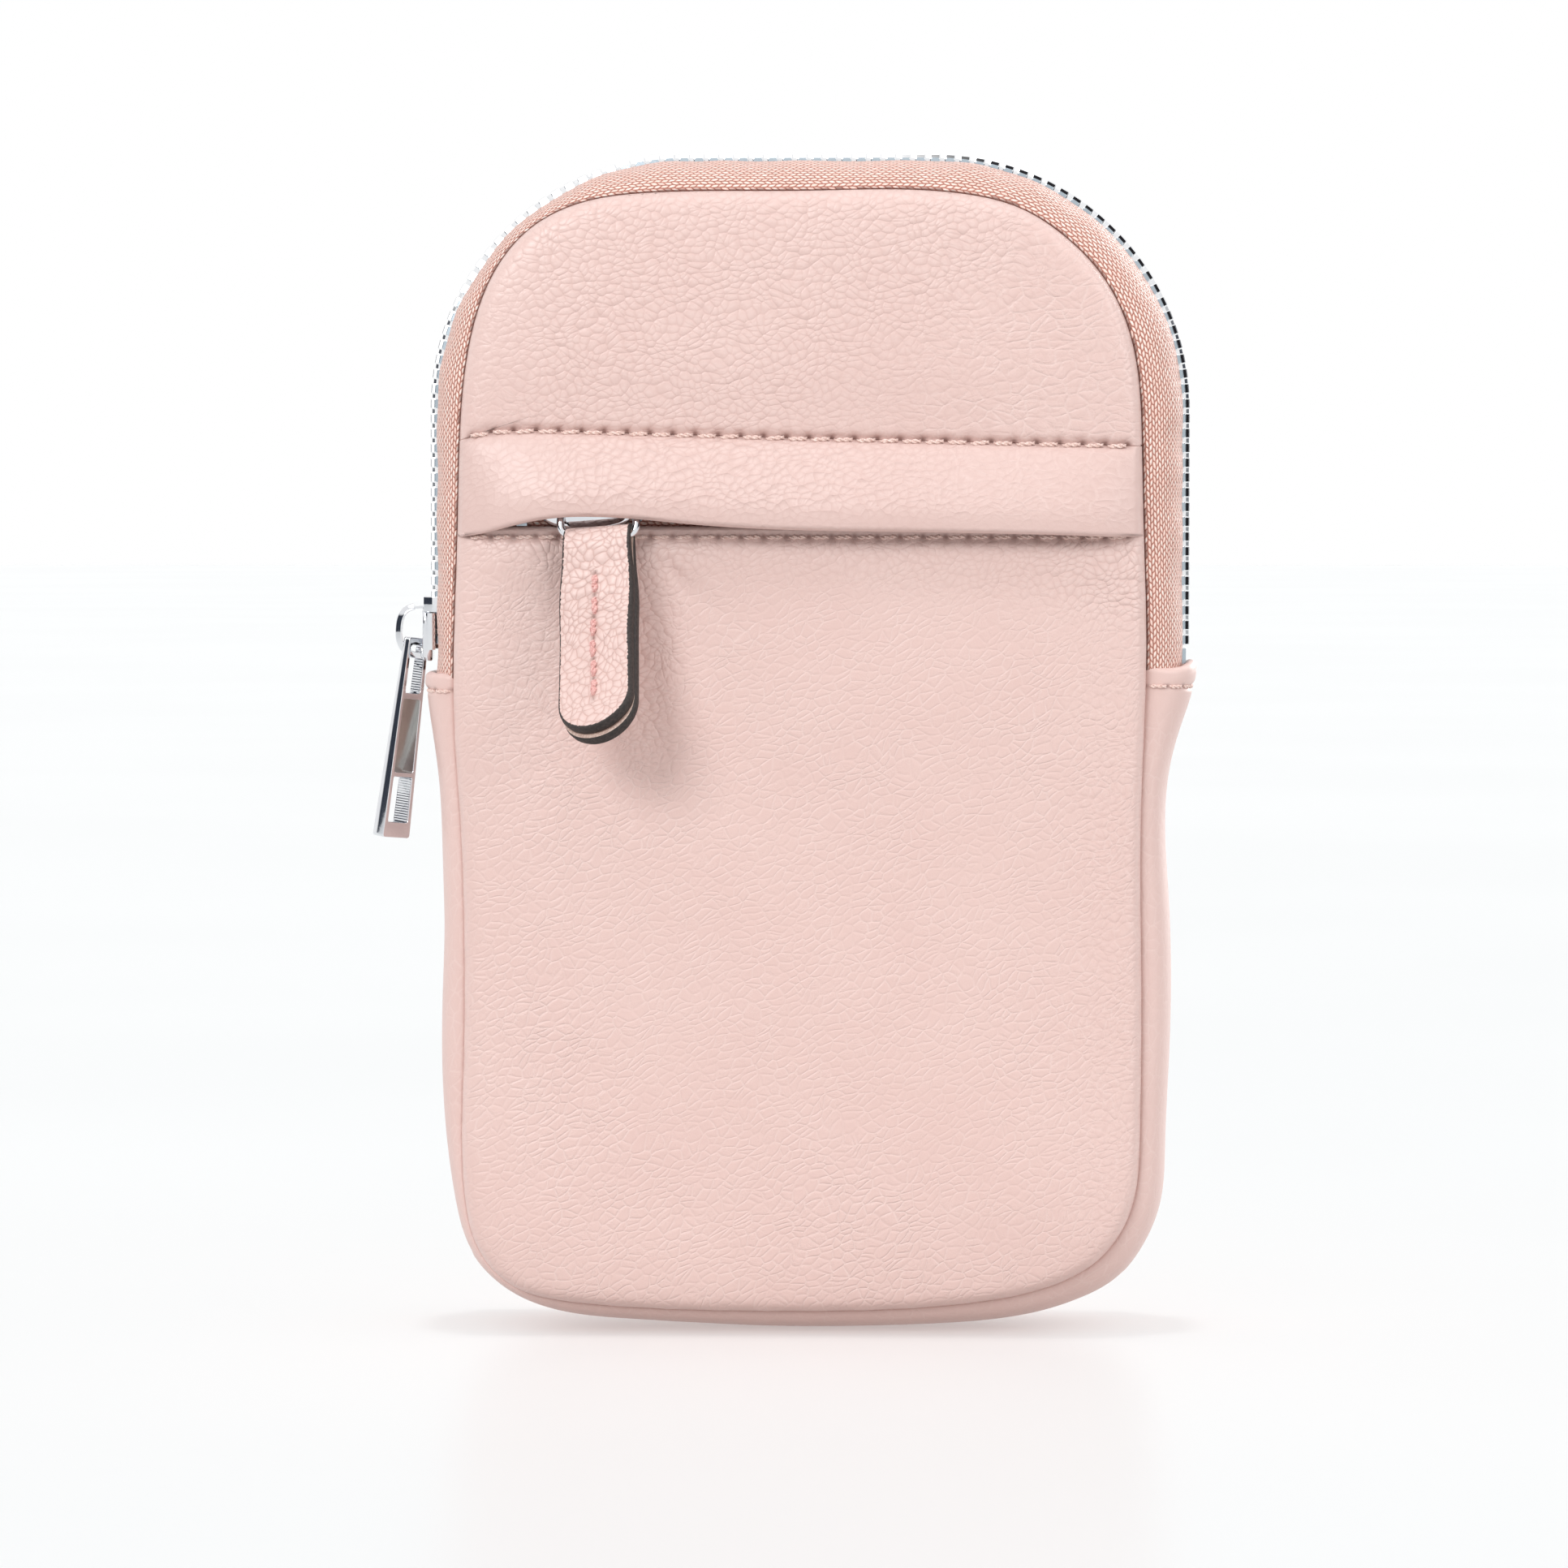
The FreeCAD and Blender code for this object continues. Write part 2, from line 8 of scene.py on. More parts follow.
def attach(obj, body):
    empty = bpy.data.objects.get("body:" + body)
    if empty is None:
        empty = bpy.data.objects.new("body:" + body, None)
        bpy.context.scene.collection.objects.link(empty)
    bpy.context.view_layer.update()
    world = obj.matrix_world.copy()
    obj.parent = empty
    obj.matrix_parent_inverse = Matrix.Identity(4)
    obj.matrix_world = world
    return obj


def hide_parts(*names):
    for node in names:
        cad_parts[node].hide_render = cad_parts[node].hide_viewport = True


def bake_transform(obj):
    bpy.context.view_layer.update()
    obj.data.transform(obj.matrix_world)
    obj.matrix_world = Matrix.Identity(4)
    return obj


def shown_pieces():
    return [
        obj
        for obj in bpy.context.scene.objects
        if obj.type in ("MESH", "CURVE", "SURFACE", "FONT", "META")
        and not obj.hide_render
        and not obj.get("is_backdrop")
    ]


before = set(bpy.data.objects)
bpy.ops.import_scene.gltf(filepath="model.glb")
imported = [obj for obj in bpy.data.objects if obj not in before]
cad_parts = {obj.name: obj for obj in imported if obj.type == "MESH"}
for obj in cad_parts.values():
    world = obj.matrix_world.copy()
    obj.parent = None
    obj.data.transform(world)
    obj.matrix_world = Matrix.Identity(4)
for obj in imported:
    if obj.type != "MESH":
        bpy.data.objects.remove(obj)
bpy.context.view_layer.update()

scene = bpy.context.scene
MM = 0.001


# =====================================================================  small tools
def link(ob):
    scene.collection.objects.link(ob)
    return ob


def add_mesh(name, verts, faces, smooth=True):
    me = bpy.data.meshes.new(name)
    me.from_pydata((np.asarray(verts, float) * MM).tolist(), [], [list(map(int, f)) for f in faces])
    me.validate()
    if smooth:
        me.polygons.foreach_set("use_smooth", [True] * len(me.polygons))
    me.update()
    return link(bpy.data.objects.new(name, me))


def vec_attr(ob, name, values):
    a = ob.data.attributes.new(name, "FLOAT_VECTOR", "POINT")
    a.data.foreach_set("vector", np.asarray(values, np.float32).ravel())


def num_attr(ob, name, values):
    a = ob.data.attributes.new(name, "FLOAT", "POINT")
    a.data.foreach_set("value", np.asarray(values, np.float32).ravel())


def grid_faces(n, m, close_n=False, close_m=False, flip=False, base=0):
    out = []
    for i in range(n if close_n else n - 1):
        for j in range(m if close_m else m - 1):
            i2, j2 = (i + 1) % n, (j + 1) % m
            f = [i * m + j, i2 * m + j, i2 * m + j2, i * m + j2]
            out.append([base + k for k in (reversed(f) if flip else f)])
    return out


def smooth(a, b, x):
    t = np.clip((np.asarray(x, float) - a) / (b - a), 0, 1)
    return t * t * (3 - 2 * t)


def bump(x, c, w):
    return np.exp(-((np.asarray(x, float) - c) / w) ** 2)


def closed_spline(pts, n):
    """A periodic cubic through the points, resampled evenly by length."""
    p = np.asarray(pts, float)
    k = len(p)
    h = np.linalg.norm(np.roll(p, -1, 0) - p, axis=1)
    A = np.zeros((k, k))
    rhs = np.zeros((k, p.shape[1]))
    for i in range(k):
        h0, h1 = h[i - 1], h[i]
        A[i, i - 1] += h0
        A[i, i] += 2 * (h0 + h1)
        A[i, (i + 1) % k] += h1
        rhs[i] = 6 * ((p[(i + 1) % k] - p[i]) / h1 - (p[i] - p[i - 1]) / h0)
    m = np.linalg.solve(A, rhs)
    out = []
    for i in range(k):
        j = (i + 1) % k
        t = np.linspace(0, 1, 40, endpoint=False)[:, None] * h[i]
        r = h[i] - t
        out.append(m[i] * r ** 3 / (6 * h[i]) + m[j] * t ** 3 / (6 * h[i])
                   + (p[i] / h[i] - m[i] * h[i] / 6) * r + (p[j] / h[i] - m[j] * h[i] / 6) * t)
    q = np.concatenate(out)
    return resample(np.vstack([q, q[:1]]), n + 1)[:-1]


def resample(q, n=None, at=None):
    q = np.asarray(q, float)
    s = np.concatenate([[0], np.cumsum(np.linalg.norm(np.diff(q, axis=0), axis=1))])
    t = np.linspace(0, s[-1], n) if at is None else np.asarray(at, float) * s[-1]
    return np.stack([np.interp(t, s, q[:, i]) for i in range(q.shape[1])], 1)


def length_of(q):
    return float(np.linalg.norm(np.diff(q, axis=0), axis=1).sum())


# =====================================================================  outlines (mm, x and z)
# The seam that joins the front panel, and the back one, to the gusset and the zip tape.
SEAM = closed_spline([
    (-4, 3.2), (13, 3.5), (26, 4.6), (37.2, 7.0), (44.8, 11.1), (49.6, 18.1), (51.2, 30), (51.35, 54), (51.25, 79),
    (52.0, 104), (51.6, 121.5), (51.25, 136), (50.5, 147.2), (48.4, 155.1), (44.5, 161.9), (39.3, 167.1), (33.0, 171.1),
    (24.1, 173.4), (0, 173.9), (-23.6, 173.6), (-34.2, 172.0), (-42.0, 167.9), (-47.6, 160.7), (-50.9, 150.8),
    (-52.4, 137), (-52.8, 122), (-53.4, 104), (-53.3, 91.3), (-52.5, 79), (-52.0, 66.5), (-51.85, 54), (-52.0, 41.5),
    (-52.3, 30), (-51.9, 20.8), (-49.5, 12.0), (-44.3, 6.8), (-36.2, 4.6), (-23.8, 3.6)], 1600)
SEAM_Y = 12.45


def cut_seam(z, right):
    """Index where the seam crosses height z on that side."""
    want = SEAM[:, 0] > 0 if right else SEAM[:, 0] < 0
    d = np.where(want, np.abs(SEAM[:, 1] - z), 1e9)
    return int(np.argmin(d))


def seam_run(i, j):
    """The seam's points from index i on to index j, the way it runs: along the base to the right, up, over and down."""
    k = (j - i) % len(SEAM)
    return SEAM[(i + np.arange(k + 1)) % len(SEAM)]


def seam_distance(x, z):
    p = np.stack([np.ravel(x), np.ravel(z)], 1)
    out = np.empty(len(p))
    for a in range(0, len(p), 4000):
        q = p[a:a + 4000]
        out[a:a + 4000] = np.sqrt(((q[:, None, :] - SEAM[None, ::2, :]) ** 2).sum(2).min(1))
    return out.reshape(np.shape(x))


def lift(d):
    """How far a panel stands out from its seam plane, d inside the seam."""
    d = np.maximum(d, 0)
    return 3.0 * (1 - np.exp(-d / 0.55)) + 1.2 * (1 - np.exp(-d / 5.0))


def near_seam(x, z):
    d = seam_distance(x, z)
    return d


BL = int(np.argmin(np.hypot(SEAM[:, 0] + 46.5, SEAM[:, 1] - 10.4)))
BR = int(np.argmin(np.hypot(SEAM[:, 0] - 45.9, SEAM[:, 1] - 14.0)))
TR = int(np.argmin(np.hypot(SEAM[:, 0] - 43.6, SEAM[:, 1] - 161.2)))
TL = int(np.argmin(np.hypot(SEAM[:, 0] + 44.6, SEAM[:, 1] - 162.0)))


def spaced(total, fine, coarse, reach, both=True):
    """Positions 0..1 along a length, finely spaced near the ends."""
    pos, p = [0.0], 0.0
    half = total / 2 if both else total
    while p < half:
        p += fine + (coarse - fine) * min(1.0, p / reach)
        pos.append(p)
    pos = np.array(pos[:-1])
    if both:
        pos = np.concatenate([pos, total - pos[::-1]])
    else:
        pos = np.append(pos, total)
    return np.clip(pos / total, 0, 1)


def coons(bottom, right, top, left, us, vs):
    """A patch between four lines; bottom and top run left to right, left and right run upward."""
    B, T = resample(bottom, at=us), resample(top, at=us)
    L, R = resample(left, at=vs), resample(right, at=vs)
    u, v = us[None, :, None], vs[:, None, None]
    c00, c10, c01, c11 = B[0], B[-1], T[0], T[-1]
    return ((1 - v) * B[None] + v * T[None] + (1 - u) * L[:, None] + u * R[:, None]
            - ((1 - u) * (1 - v) * c00 + u * (1 - v) * c10 + (1 - u) * v * c01 + u * v * c11))


rng = np.random.default_rng(7)
WAVES = [(rng.uniform(-1, 1) * 0.09, rng.uniform(-1, 1) * 0.09, rng.uniform(0, 6.28), rng.uniform(0.3, 1.0)) for _ in range(14)]


def swell(x, z):
    """Slow unevenness of stuffed leather, about -1..1."""
    s = sum(a * np.sin(kx * x + kz * z + ph) for kx, kz, ph, a in WAVES)
    return s / 3.2


# =====================================================================  materials
def new_mat(name):
    m = bpy.data.materials.new(name)
    m.use_nodes = True
    nt = m.node_tree
    nt.nodes.clear()
    out = nt.nodes.new("ShaderNodeOutputMaterial")
    b = nt.nodes.new("ShaderNodeBsdfPrincipled")
    nt.links.new(b.outputs[0], out.inputs[0])
    return m, nt, b


class Net:
    """Short names for building a node tree."""

    def __init__(self, nt):
        self.nt = nt

    def put(self, sock, val):
        if hasattr(val, "is_output"):
            self.nt.links.new(val, sock)
        elif val is not None:
            sock.default_value = val

    def math(self, op, a, b=None, c=None, clamp=False):
        n = self.nt.nodes.new("ShaderNodeMath")
        n.operation = op
        n.use_clamp = clamp
        for s, v in zip(n.inputs, (a, b, c)):
            self.put(s, v)
        return n.outputs[0]

    def vmath(self, op, a, b=None, scale=None):
        n = self.nt.nodes.new("ShaderNodeVectorMath")
        n.operation = op
        self.put(n.inputs[0], a)
        if b is not None:
            self.put(n.inputs[1], b)
        if scale is not None:
            self.put(n.inputs["Scale"], scale)
        return n.outputs["Value" if op in ("LENGTH", "DISTANCE", "DOT_PRODUCT") else "Vector"]

    def attr(self, name, out="Vector"):
        n = self.nt.nodes.new("ShaderNodeAttribute")
        n.attribute_name = name
        return n.outputs[out]

    def obj(self):
        return self.nt.nodes.new("ShaderNodeTexCoord").outputs["Object"]

    def noise(self, co, scale, detail=2.0, rough=0.5, dims="3D", out=0):
        n = self.nt.nodes.new("ShaderNodeTexNoise")
        n.noise_dimensions = dims
        self.put(n.inputs["Vector"], co)
        n.inputs["Scale"].default_value = scale
        n.inputs["Detail"].default_value = detail
        n.inputs["Roughness"].default_value = rough
        return n.outputs[out]

    def voronoi(self, co, scale, feature="F1", dims="2D", rand=1.0, out="Distance", smoothness=None):
        n = self.nt.nodes.new("ShaderNodeTexVoronoi")
        n.voronoi_dimensions = dims
        n.feature = feature
        self.put(n.inputs["Vector"], co)
        n.inputs["Scale"].default_value = scale
        n.inputs["Randomness"].default_value = rand
        if smoothness is not None:
            n.inputs["Smoothness"].default_value = smoothness
        return n.outputs[out]

    def range(self, x, a, b, c=0.0, d=1.0, kind="SMOOTHSTEP"):
        n = self.nt.nodes.new("ShaderNodeMapRange")
        n.interpolation_type = kind
        self.put(n.inputs[0], x)
        for s, v in zip(n.inputs[1:5], (a, b, c, d)):
            self.put(s, v)
        return n.outputs[0]

    def mix(self, f, a, b, blend="MIX"):
        n = self.nt.nodes.new("ShaderNodeMix")
        n.data_type = "RGBA"
        n.blend_type = blend
        self.put(n.inputs["Factor"], f)
        ins = [s for s in n.inputs if s.type == "RGBA"]
        self.put(ins[0], a)
        self.put(ins[1], b)
        return [s for s in n.outputs if s.type == "RGBA"][0]

    def hash(self, x, y):
        n = self.nt.nodes.new("ShaderNodeTexWhiteNoise")
        n.noise_dimensions = "2D"
        self.put(n.inputs["Vector"], self.comb(x, y))
        return n.outputs["Value"], n.outputs["Color"]

    def mapping(self, co, rot_z=0.0, scale=(1, 1, 1), loc=(0, 0, 0), kind="POINT"):
        n = self.nt.nodes.new("ShaderNodeMapping")
        n.vector_type = kind
        self.put(n.inputs["Vector"], co)
        n.inputs["Rotation"].default_value = (0, 0, rot_z)
        n.inputs["Scale"].default_value = scale
        n.inputs["Location"].default_value = loc
        return n.outputs[0]

    def sep(self, v):
        n = self.nt.nodes.new("ShaderNodeSeparateXYZ")
        self.put(n.inputs[0], v)
        return n.outputs

    def comb(self, x, y, z=0.0):
        n = self.nt.nodes.new("ShaderNodeCombineXYZ")
        for s, v in zip(n.inputs, (x, y, z)):
            self.put(s, v)
        return n.outputs[0]

    def bump(self, height, distance, strength=1.0, normal=None):
        n = self.nt.nodes.new("ShaderNodeBump")
        n.inputs["Strength"].default_value = strength
        n.inputs["Distance"].default_value = distance
        self.put(n.inputs["Height"], height)
        if normal is not None:
            self.put(n.inputs["Normal"], normal)
        return n.outputs[0]


PINK = (0.735, 0.538, 0.496, 1)
# deeper pink: the leather's own random darker flecks, and painted shade in the grain's valleys
PINK_DEEP_TONE_AND_VALLEY_SHADE = (0.55, 0.325, 0.28, 1)


def leather_mat(name, plate=(1.9, 28, 1.5), pebble=(0.95, 10, 1.3), depth=0.075, rough=0.40, loc=(0, 0, 0), valley_shade=0.0, shade_tone=1.0):
    """Grained coated leather. Reads grain_co (mm on the flat piece), grain_amp (1 = full grain), grain_mix (0 = flat
    plates between thin creases,
    1 = round pebbles), the stitch holes' mask (painted shade in the holes) and paint (edge paint). plate and pebble
    give cell size in mm, direction in degrees and stretch.
    The last two arguments paint shade: the first darkens the valleys between the grain, the second, below 1, darkens
    the whole piece."""
    m, nt, b = new_mat(name)
    k = Net(nt)
    co0 = k.vmath("ADD", k.attr("grain_co"), loc)
    amp = k.attr("grain_amp", "Fac")
    mixp = k.attr("grain_mix", "Fac")

    def bent(co, scale, size):
        return k.vmath("SCALE", k.vmath("SUBTRACT", k.noise(co, scale, 1.0, out=1), (0.5, 0.5, 0.5)), scale=size)

    warped = k.vmath("ADD", k.vmath("ADD", co0, bent(co0, 0.16, 3.2)), bent(co0, 0.75, 0.24))
    # plates: a network of thin creases, with a second, weaker network inside it
    ca = k.mapping(warped, math.radians(plate[1]), (plate[2], 1, 1), kind="TEXTURE")
    e1 = k.voronoi(ca, 1.0 / plate[0], "DISTANCE_TO_EDGE")
    e2 = k.voronoi(k.vmath("ADD", ca, (31.7, 12.9, 0)), 2.2 / plate[0], "DISTANCE_TO_EDGE")
    lum = k.range(k.noise(co0, 0.23, 2.0), 0.36, 0.62, 0.25, 1.0)
    part = k.range(k.noise(k.vmath("ADD", co0, (80, 9, 0)), 0.3, 2.0), 0.40, 0.62, 0.0, 1.0)
    crease = k.range(e1, 0.0, 0.11)
    crease2 = k.range(e2, 0.0, 0.14)
    h_pl = k.math("ADD", k.math("MULTIPLY", k.math("MULTIPLY", crease, lum), 0.26), k.math("MULTIPLY", k.range(e1, 0.0, 0.26), 0.36))
    h_pl = k.math("ADD", h_pl, k.math("MULTIPLY", k.math("MULTIPLY", crease2, part), 0.16))
    line = k.math("MULTIPLY", k.range(e1, 0.02, 0.10, 1.0, 0.0), lum)
    line = k.math("ADD", line, k.math("MULTIPLY", k.math("MULTIPLY", k.range(e2, 0.02, 0.12, 1.0, 0.0), part), 0.45), clamp=True)
    line = k.math("MULTIPLY", line, k.math("SUBTRACT", 1.0, k.math("MULTIPLY", mixp, 0.75)))
    # pebbles: small domes of uneven size with soft valleys between them
    cb = k.mapping(warped, math.radians(pebble[1]), (pebble[2], 1, 1), kind="TEXTURE")
    p1 = k.voronoi(cb, 1.0 / pebble[0], "DISTANCE_TO_EDGE")
    p0 = k.voronoi(cb, 1.0 / pebble[0], "SMOOTH_F1", smoothness=0.10)
    p2 = k.voronoi(k.vmath("ADD", cb, (7.3, 51.1, 0)), 1.9 / pebble[0], "SMOOTH_F1", smoothness=0.4)
    h_pb = k.math("SUBTRACT", 0.90, k.math("MULTIPLY", k.math("MULTIPLY", p0, p0), 1.7))
    h_pb = k.math("ADD", h_pb, k.math("MULTIPLY", k.range(p1, 0.0, 0.20), 0.22))
    h_pb = k.math("SUBTRACT", h_pb, k.math("MULTIPLY", k.math("MULTIPLY", p2, part), 0.45))
    fine = k.noise(co0, 5.0, 3.0, 0.6)
    h = k.math("ADD", k.math("MULTIPLY", h_pl, k.math("SUBTRACT", 1.0, mixp)), k.math("MULTIPLY", h_pb, mixp))
    h = k.math("ADD", k.math("MULTIPLY", h, amp), k.math("MULTIPLY", fine, 0.16))
    nt.links.new(k.bump(h, depth * MM, 1.0), b.inputs["Normal"])
    # painted shade: the grain's valleys are coloured towards the deeper pink, more so on pebbles and by the
    # valley-shade argument (the same mask roughens them below)
    gap = k.math("ADD", k.math("MULTIPLY", k.math("SUBTRACT", 1.0, crease), k.math("MULTIPLY", lum, k.math("SUBTRACT", 1.0, mixp))),
                 k.math("MULTIPLY", k.math("SUBTRACT", 1.0, k.range(p1, 0.0, 0.13)), mixp))
    gap = k.math("MULTIPLY", gap, amp)
    mottled = k.range(k.noise(co0, 0.05, 3.0), 0.3, 0.7, 0.0, 1.0)
    # random mottling of the leather's colour; the last argument, below 1, darkens the whole piece as painted shade
    col = k.mix(mottled, (PINK[0] * 0.992 * shade_tone, PINK[1] * 0.980 * shade_tone, PINK[2] * 0.980 * shade_tone, 1),
                (PINK[0] * 1.008 * shade_tone, PINK[1] * 1.01 * shade_tone, PINK[2] * 1.012 * shade_tone, 1))
    col = k.mix(k.math("MULTIPLY", k.math("SUBTRACT", fine, 0.4, clamp=True), 0.25), col, PINK_DEEP_TONE_AND_VALLEY_SHADE)
    col = k.mix(k.math("MULTIPLY", gap, k.math("ADD", k.math("MULTIPLY", mixp, 0.20), valley_shade)), col, PINK_DEEP_TONE_AND_VALLEY_SHADE)
    # painted highlight: the thin crease lines are coloured lighter
    col = k.mix(k.math("MULTIPLY", k.math("MULTIPLY", line, amp, clamp=True), 0.33), col, (0.83, 0.665, 0.625, 1))
    # painted highlight on the tops of the pebbles
    pebble_highlight = k.math("MULTIPLY", k.range(p0, 0.50, 0.12), k.math("MULTIPLY", k.math("MULTIPLY", mixp, amp, clamp=True), 0.32))
    col = k.mix(pebble_highlight, col, (0.84, 0.665, 0.625, 1))
    # painted shade in the stitch holes
    col = k.mix(k.math("MULTIPLY", k.attr("hole_shade", "Fac"), 0.85), col, (0.19, 0.075, 0.058, 1))
    paint = k.range(k.math("ADD", k.attr("paint", "Fac"), k.math("MULTIPLY", k.math("SUBTRACT", k.noise(co0, 2.2, 3.0, 0.65), 0.5), 0.9)), 0.42, 0.58)
    col = k.mix(paint, col, (0.026, 0.019, 0.017, 1))
    nt.links.new(col, b.inputs["Base Color"])
    r = k.math("ADD", rough, k.math("MULTIPLY", k.math("SUBTRACT", fine, 0.5), 0.14))
    r = k.math("ADD", r, k.math("MULTIPLY", gap, 0.12))
    r = k.math("ADD", r, k.math("MULTIPLY", paint, 0.16))
    nt.links.new(r, b.inputs["Roughness"])
    b.inputs["IOR"].default_value = 1.50
    b.inputs["Sheen Weight"].default_value = 0.04
    b.inputs["Sheen Roughness"].default_value = 0.45
    return m


def weave_mat(name, pit_shade, mid, knot_highlight, a=0.60, bb=0.62, depth=0.12, edge=None, fray=0.3):
    """Woven cloth: short slanted knots in rows along the piece, each row shifted by half a knot. Reads weave_co, mm
    across and along. edge darkens the first part of a mm, where the cloth goes into a seam, as painted shade. The first
    colour is painted shade in the pits, the third a painted highlight on the knot tops."""
    m, nt, b = new_mat(name)
    k = Net(nt)
    x, y, z = k.sep(k.attr("weave_co"))
    wob = k.math("MULTIPLY", k.math("SUBTRACT", k.noise(k.comb(x, y), 0.45 / a, 2.0), 0.5), 2.0 * fray * a)
    wob2 = k.math("MULTIPLY", k.math("SUBTRACT", k.noise(k.comb(y, x), 0.45 / a, 2.0), 0.5), 2.0 * fray * a)
    u = k.math("DIVIDE", k.math("ADD", x, wob), a)
    ci = k.math("FLOOR", u)
    odd = k.math("MODULO", k.math("ABSOLUTE", ci), 2.0)
    fu = k.math("SUBTRACT", k.math("FRACT", u), 0.5)
    slant = k.math("MULTIPLY", k.math("MULTIPLY", fu, 0.42), k.math("SUBTRACT", 1.0, k.math("MULTIPLY", odd, 2.0)))
    v = k.math("ADD", k.math("ADD", k.math("DIVIDE", k.math("ADD", y, wob2), bb), k.math("MULTIPLY", odd, 0.5)), slant)
    cj = k.math("FLOOR", v)
    fv = k.math("SUBTRACT", k.math("FRACT", v), 0.5)
    cu, cv = k.math("COSINE", k.math("MULTIPLY", fu, math.pi)), k.math("COSINE", k.math("MULTIPLY", fv, math.pi))
    dome = k.math("MULTIPLY", k.math("POWER", cu, 0.75), k.math("POWER", cv, 0.65))
    r1, rc = k.hash(ci, cj)
    ra, rb, rd = k.sep(rc)
    plies = k.math("MULTIPLY", k.math("SINE", k.math("MULTIPLY", k.math("ADD", fu, k.math("MULTIPLY", fv, 0.8)), 21.0)), 0.04)
    h = k.math("MULTIPLY", dome, k.math("ADD", k.math("ADD", 0.7, k.math("MULTIPLY", r1, 0.3)), plies))
    nt.links.new(k.bump(h, depth * MM, 1.0), b.inputs["Normal"])
    # painted shade in the pits between knots and painted highlight on the knot tops, the highlight by a random amount
    col = k.mix(k.range(dome, 0.22, 0.66), pit_shade, mid)
    col = k.mix(k.math("MULTIPLY", k.range(dome, 0.60, 0.97), k.math("ADD", 0.25, k.math("MULTIPLY", rd, 0.75))), col, knot_highlight)
    # painted shade where the cloth goes into the seam
    if edge is not None:
        col = k.mix(k.range(k.math("ADD", x, k.math("MULTIPLY", k.math("SUBTRACT", r1, 0.5), 0.35)), edge * 0.3, edge, 0.85, 0.0), col, (0.16, 0.055, 0.038, 1))
    nt.links.new(col, b.inputs["Base Color"])
    b.inputs["Roughness"].default_value = 0.50
    b.inputs["Sheen Weight"].default_value = 0.20
    b.inputs["Sheen Roughness"].default_value = 0.4
    return m


def metal_mat(name, col=(0.80, 0.81, 0.83, 1), rough=0.12, scale=900.0):
    m, nt, b = new_mat(name)
    k = Net(nt)
    co = k.obj()
    n = k.noise(co, scale, 3.0)
    scr = k.noise(k.mapping(co, 0.4, (1, 12, 1)), scale * 0.8, 2.0)
    r = k.math("ADD", rough, k.math("MULTIPLY", k.math("SUBTRACT", n, 0.5), 0.10), clamp=True)
    nt.links.new(r, b.inputs["Roughness"])
    f = k.range(k.noise(co, scale * 0.35, 3.0), 0.35, 0.7)
    nt.links.new(k.mix(f, (col[0] * 0.93, col[1] * 0.93, col[2] * 0.94, 1), col), b.inputs["Base Color"])
    nt.links.new(k.bump(k.math("ADD", n, scr), 0.004 * MM, 0.6), b.inputs["Normal"])
    b.inputs["Metallic"].default_value = 1.0
    return m


def thread_mat(name, col=(0.93, 0.76, 0.70, 1), dark=(0.66, 0.42, 0.36, 1)):
    m, nt, b = new_mat(name)
    k = Net(nt)
    co = k.obj()
    n = k.noise(k.mapping(co, 0.6, (1, 4, 1)), 3500.0, 3.0)
    nt.links.new(k.mix(k.range(n, 0.3, 0.7), dark, col), b.inputs["Base Color"])
    nt.links.new(k.bump(n, 0.05 * MM, 0.8), b.inputs["Normal"])
    b.inputs["Roughness"].default_value = 0.55
    b.inputs["Sheen Weight"].default_value = 0.3
    return m


M_LEATHER = leather_mat("leather_panel", (1.18, 27, 1.7), (0.95, 20, 1.25), 0.115, 0.36)
M_YOKE = leather_mat("leather_yoke", (1.65, 4, 1.7), (1.0, 14, 1.35), 0.115, 0.35, (17, 5, 0))
# the flap takes the yoke's leather, rougher and 6 % darker: the darkening is painted shade
M_FLAP_SHADED = leather_mat("leather_flap_shaded", (1.65, 4, 1.7), (1.0, 14, 1.35), 0.115, 0.38, (17, 5, 0), 0.0, 0.94)
M_GUSSET = leather_mat("leather_gusset", (1.7, 70, 1.4), (0.9, 20, 1.2), 0.05, 0.42, (40, 3, 0))
# the tab's grain valleys get extra painted shade (0.36)
M_TAB = leather_mat("leather_tab", (1.8, 30, 1.2), (1.05, 35, 1.12), 0.13, 0.40, (3, 60, 0), 0.36)
# each weave's first colour is painted shade for the pits between knots, its third a painted highlight on the knot tops;
# the tape's 0.5 mm edge band is painted seam shade
M_TAPE = weave_mat("zip_tape_weave", (0.47, 0.185, 0.135, 1), (1.0, 0.64, 0.545, 1), (1.0, 0.97, 0.91, 1), 0.56, 1.08, 0.24, 0.5, 0.3)
M_LINING = weave_mat("lining_weave", (0.48, 0.32, 0.27, 1), (0.64, 0.47, 0.42, 1), (0.76, 0.60, 0.54, 1), 0.32, 0.60, 0.05, None, 0.15)
M_METAL = metal_mat("polished_nickel", rough=0.07)
M_TEETH = metal_mat("teeth_metal", (0.46, 0.53, 0.58, 1), 0.22, 1500.0)
# the crown and groove metals are lighter and darker copies of the teeth metal: the crown a painted highlight, the
# groove painted shade
M_TOOTH_CROWN_HIGHLIGHT = metal_mat("teeth_crown_painted_highlight", (0.90, 0.91, 0.92, 1), 0.16, 1500.0)
M_TOOTH_GROOVE_SHADE_HIGHLIGHT = metal_mat("teeth_groove_painted_shade_and_highlight", (0.020, 0.019, 0.022, 1), 0.45, 1500.0)
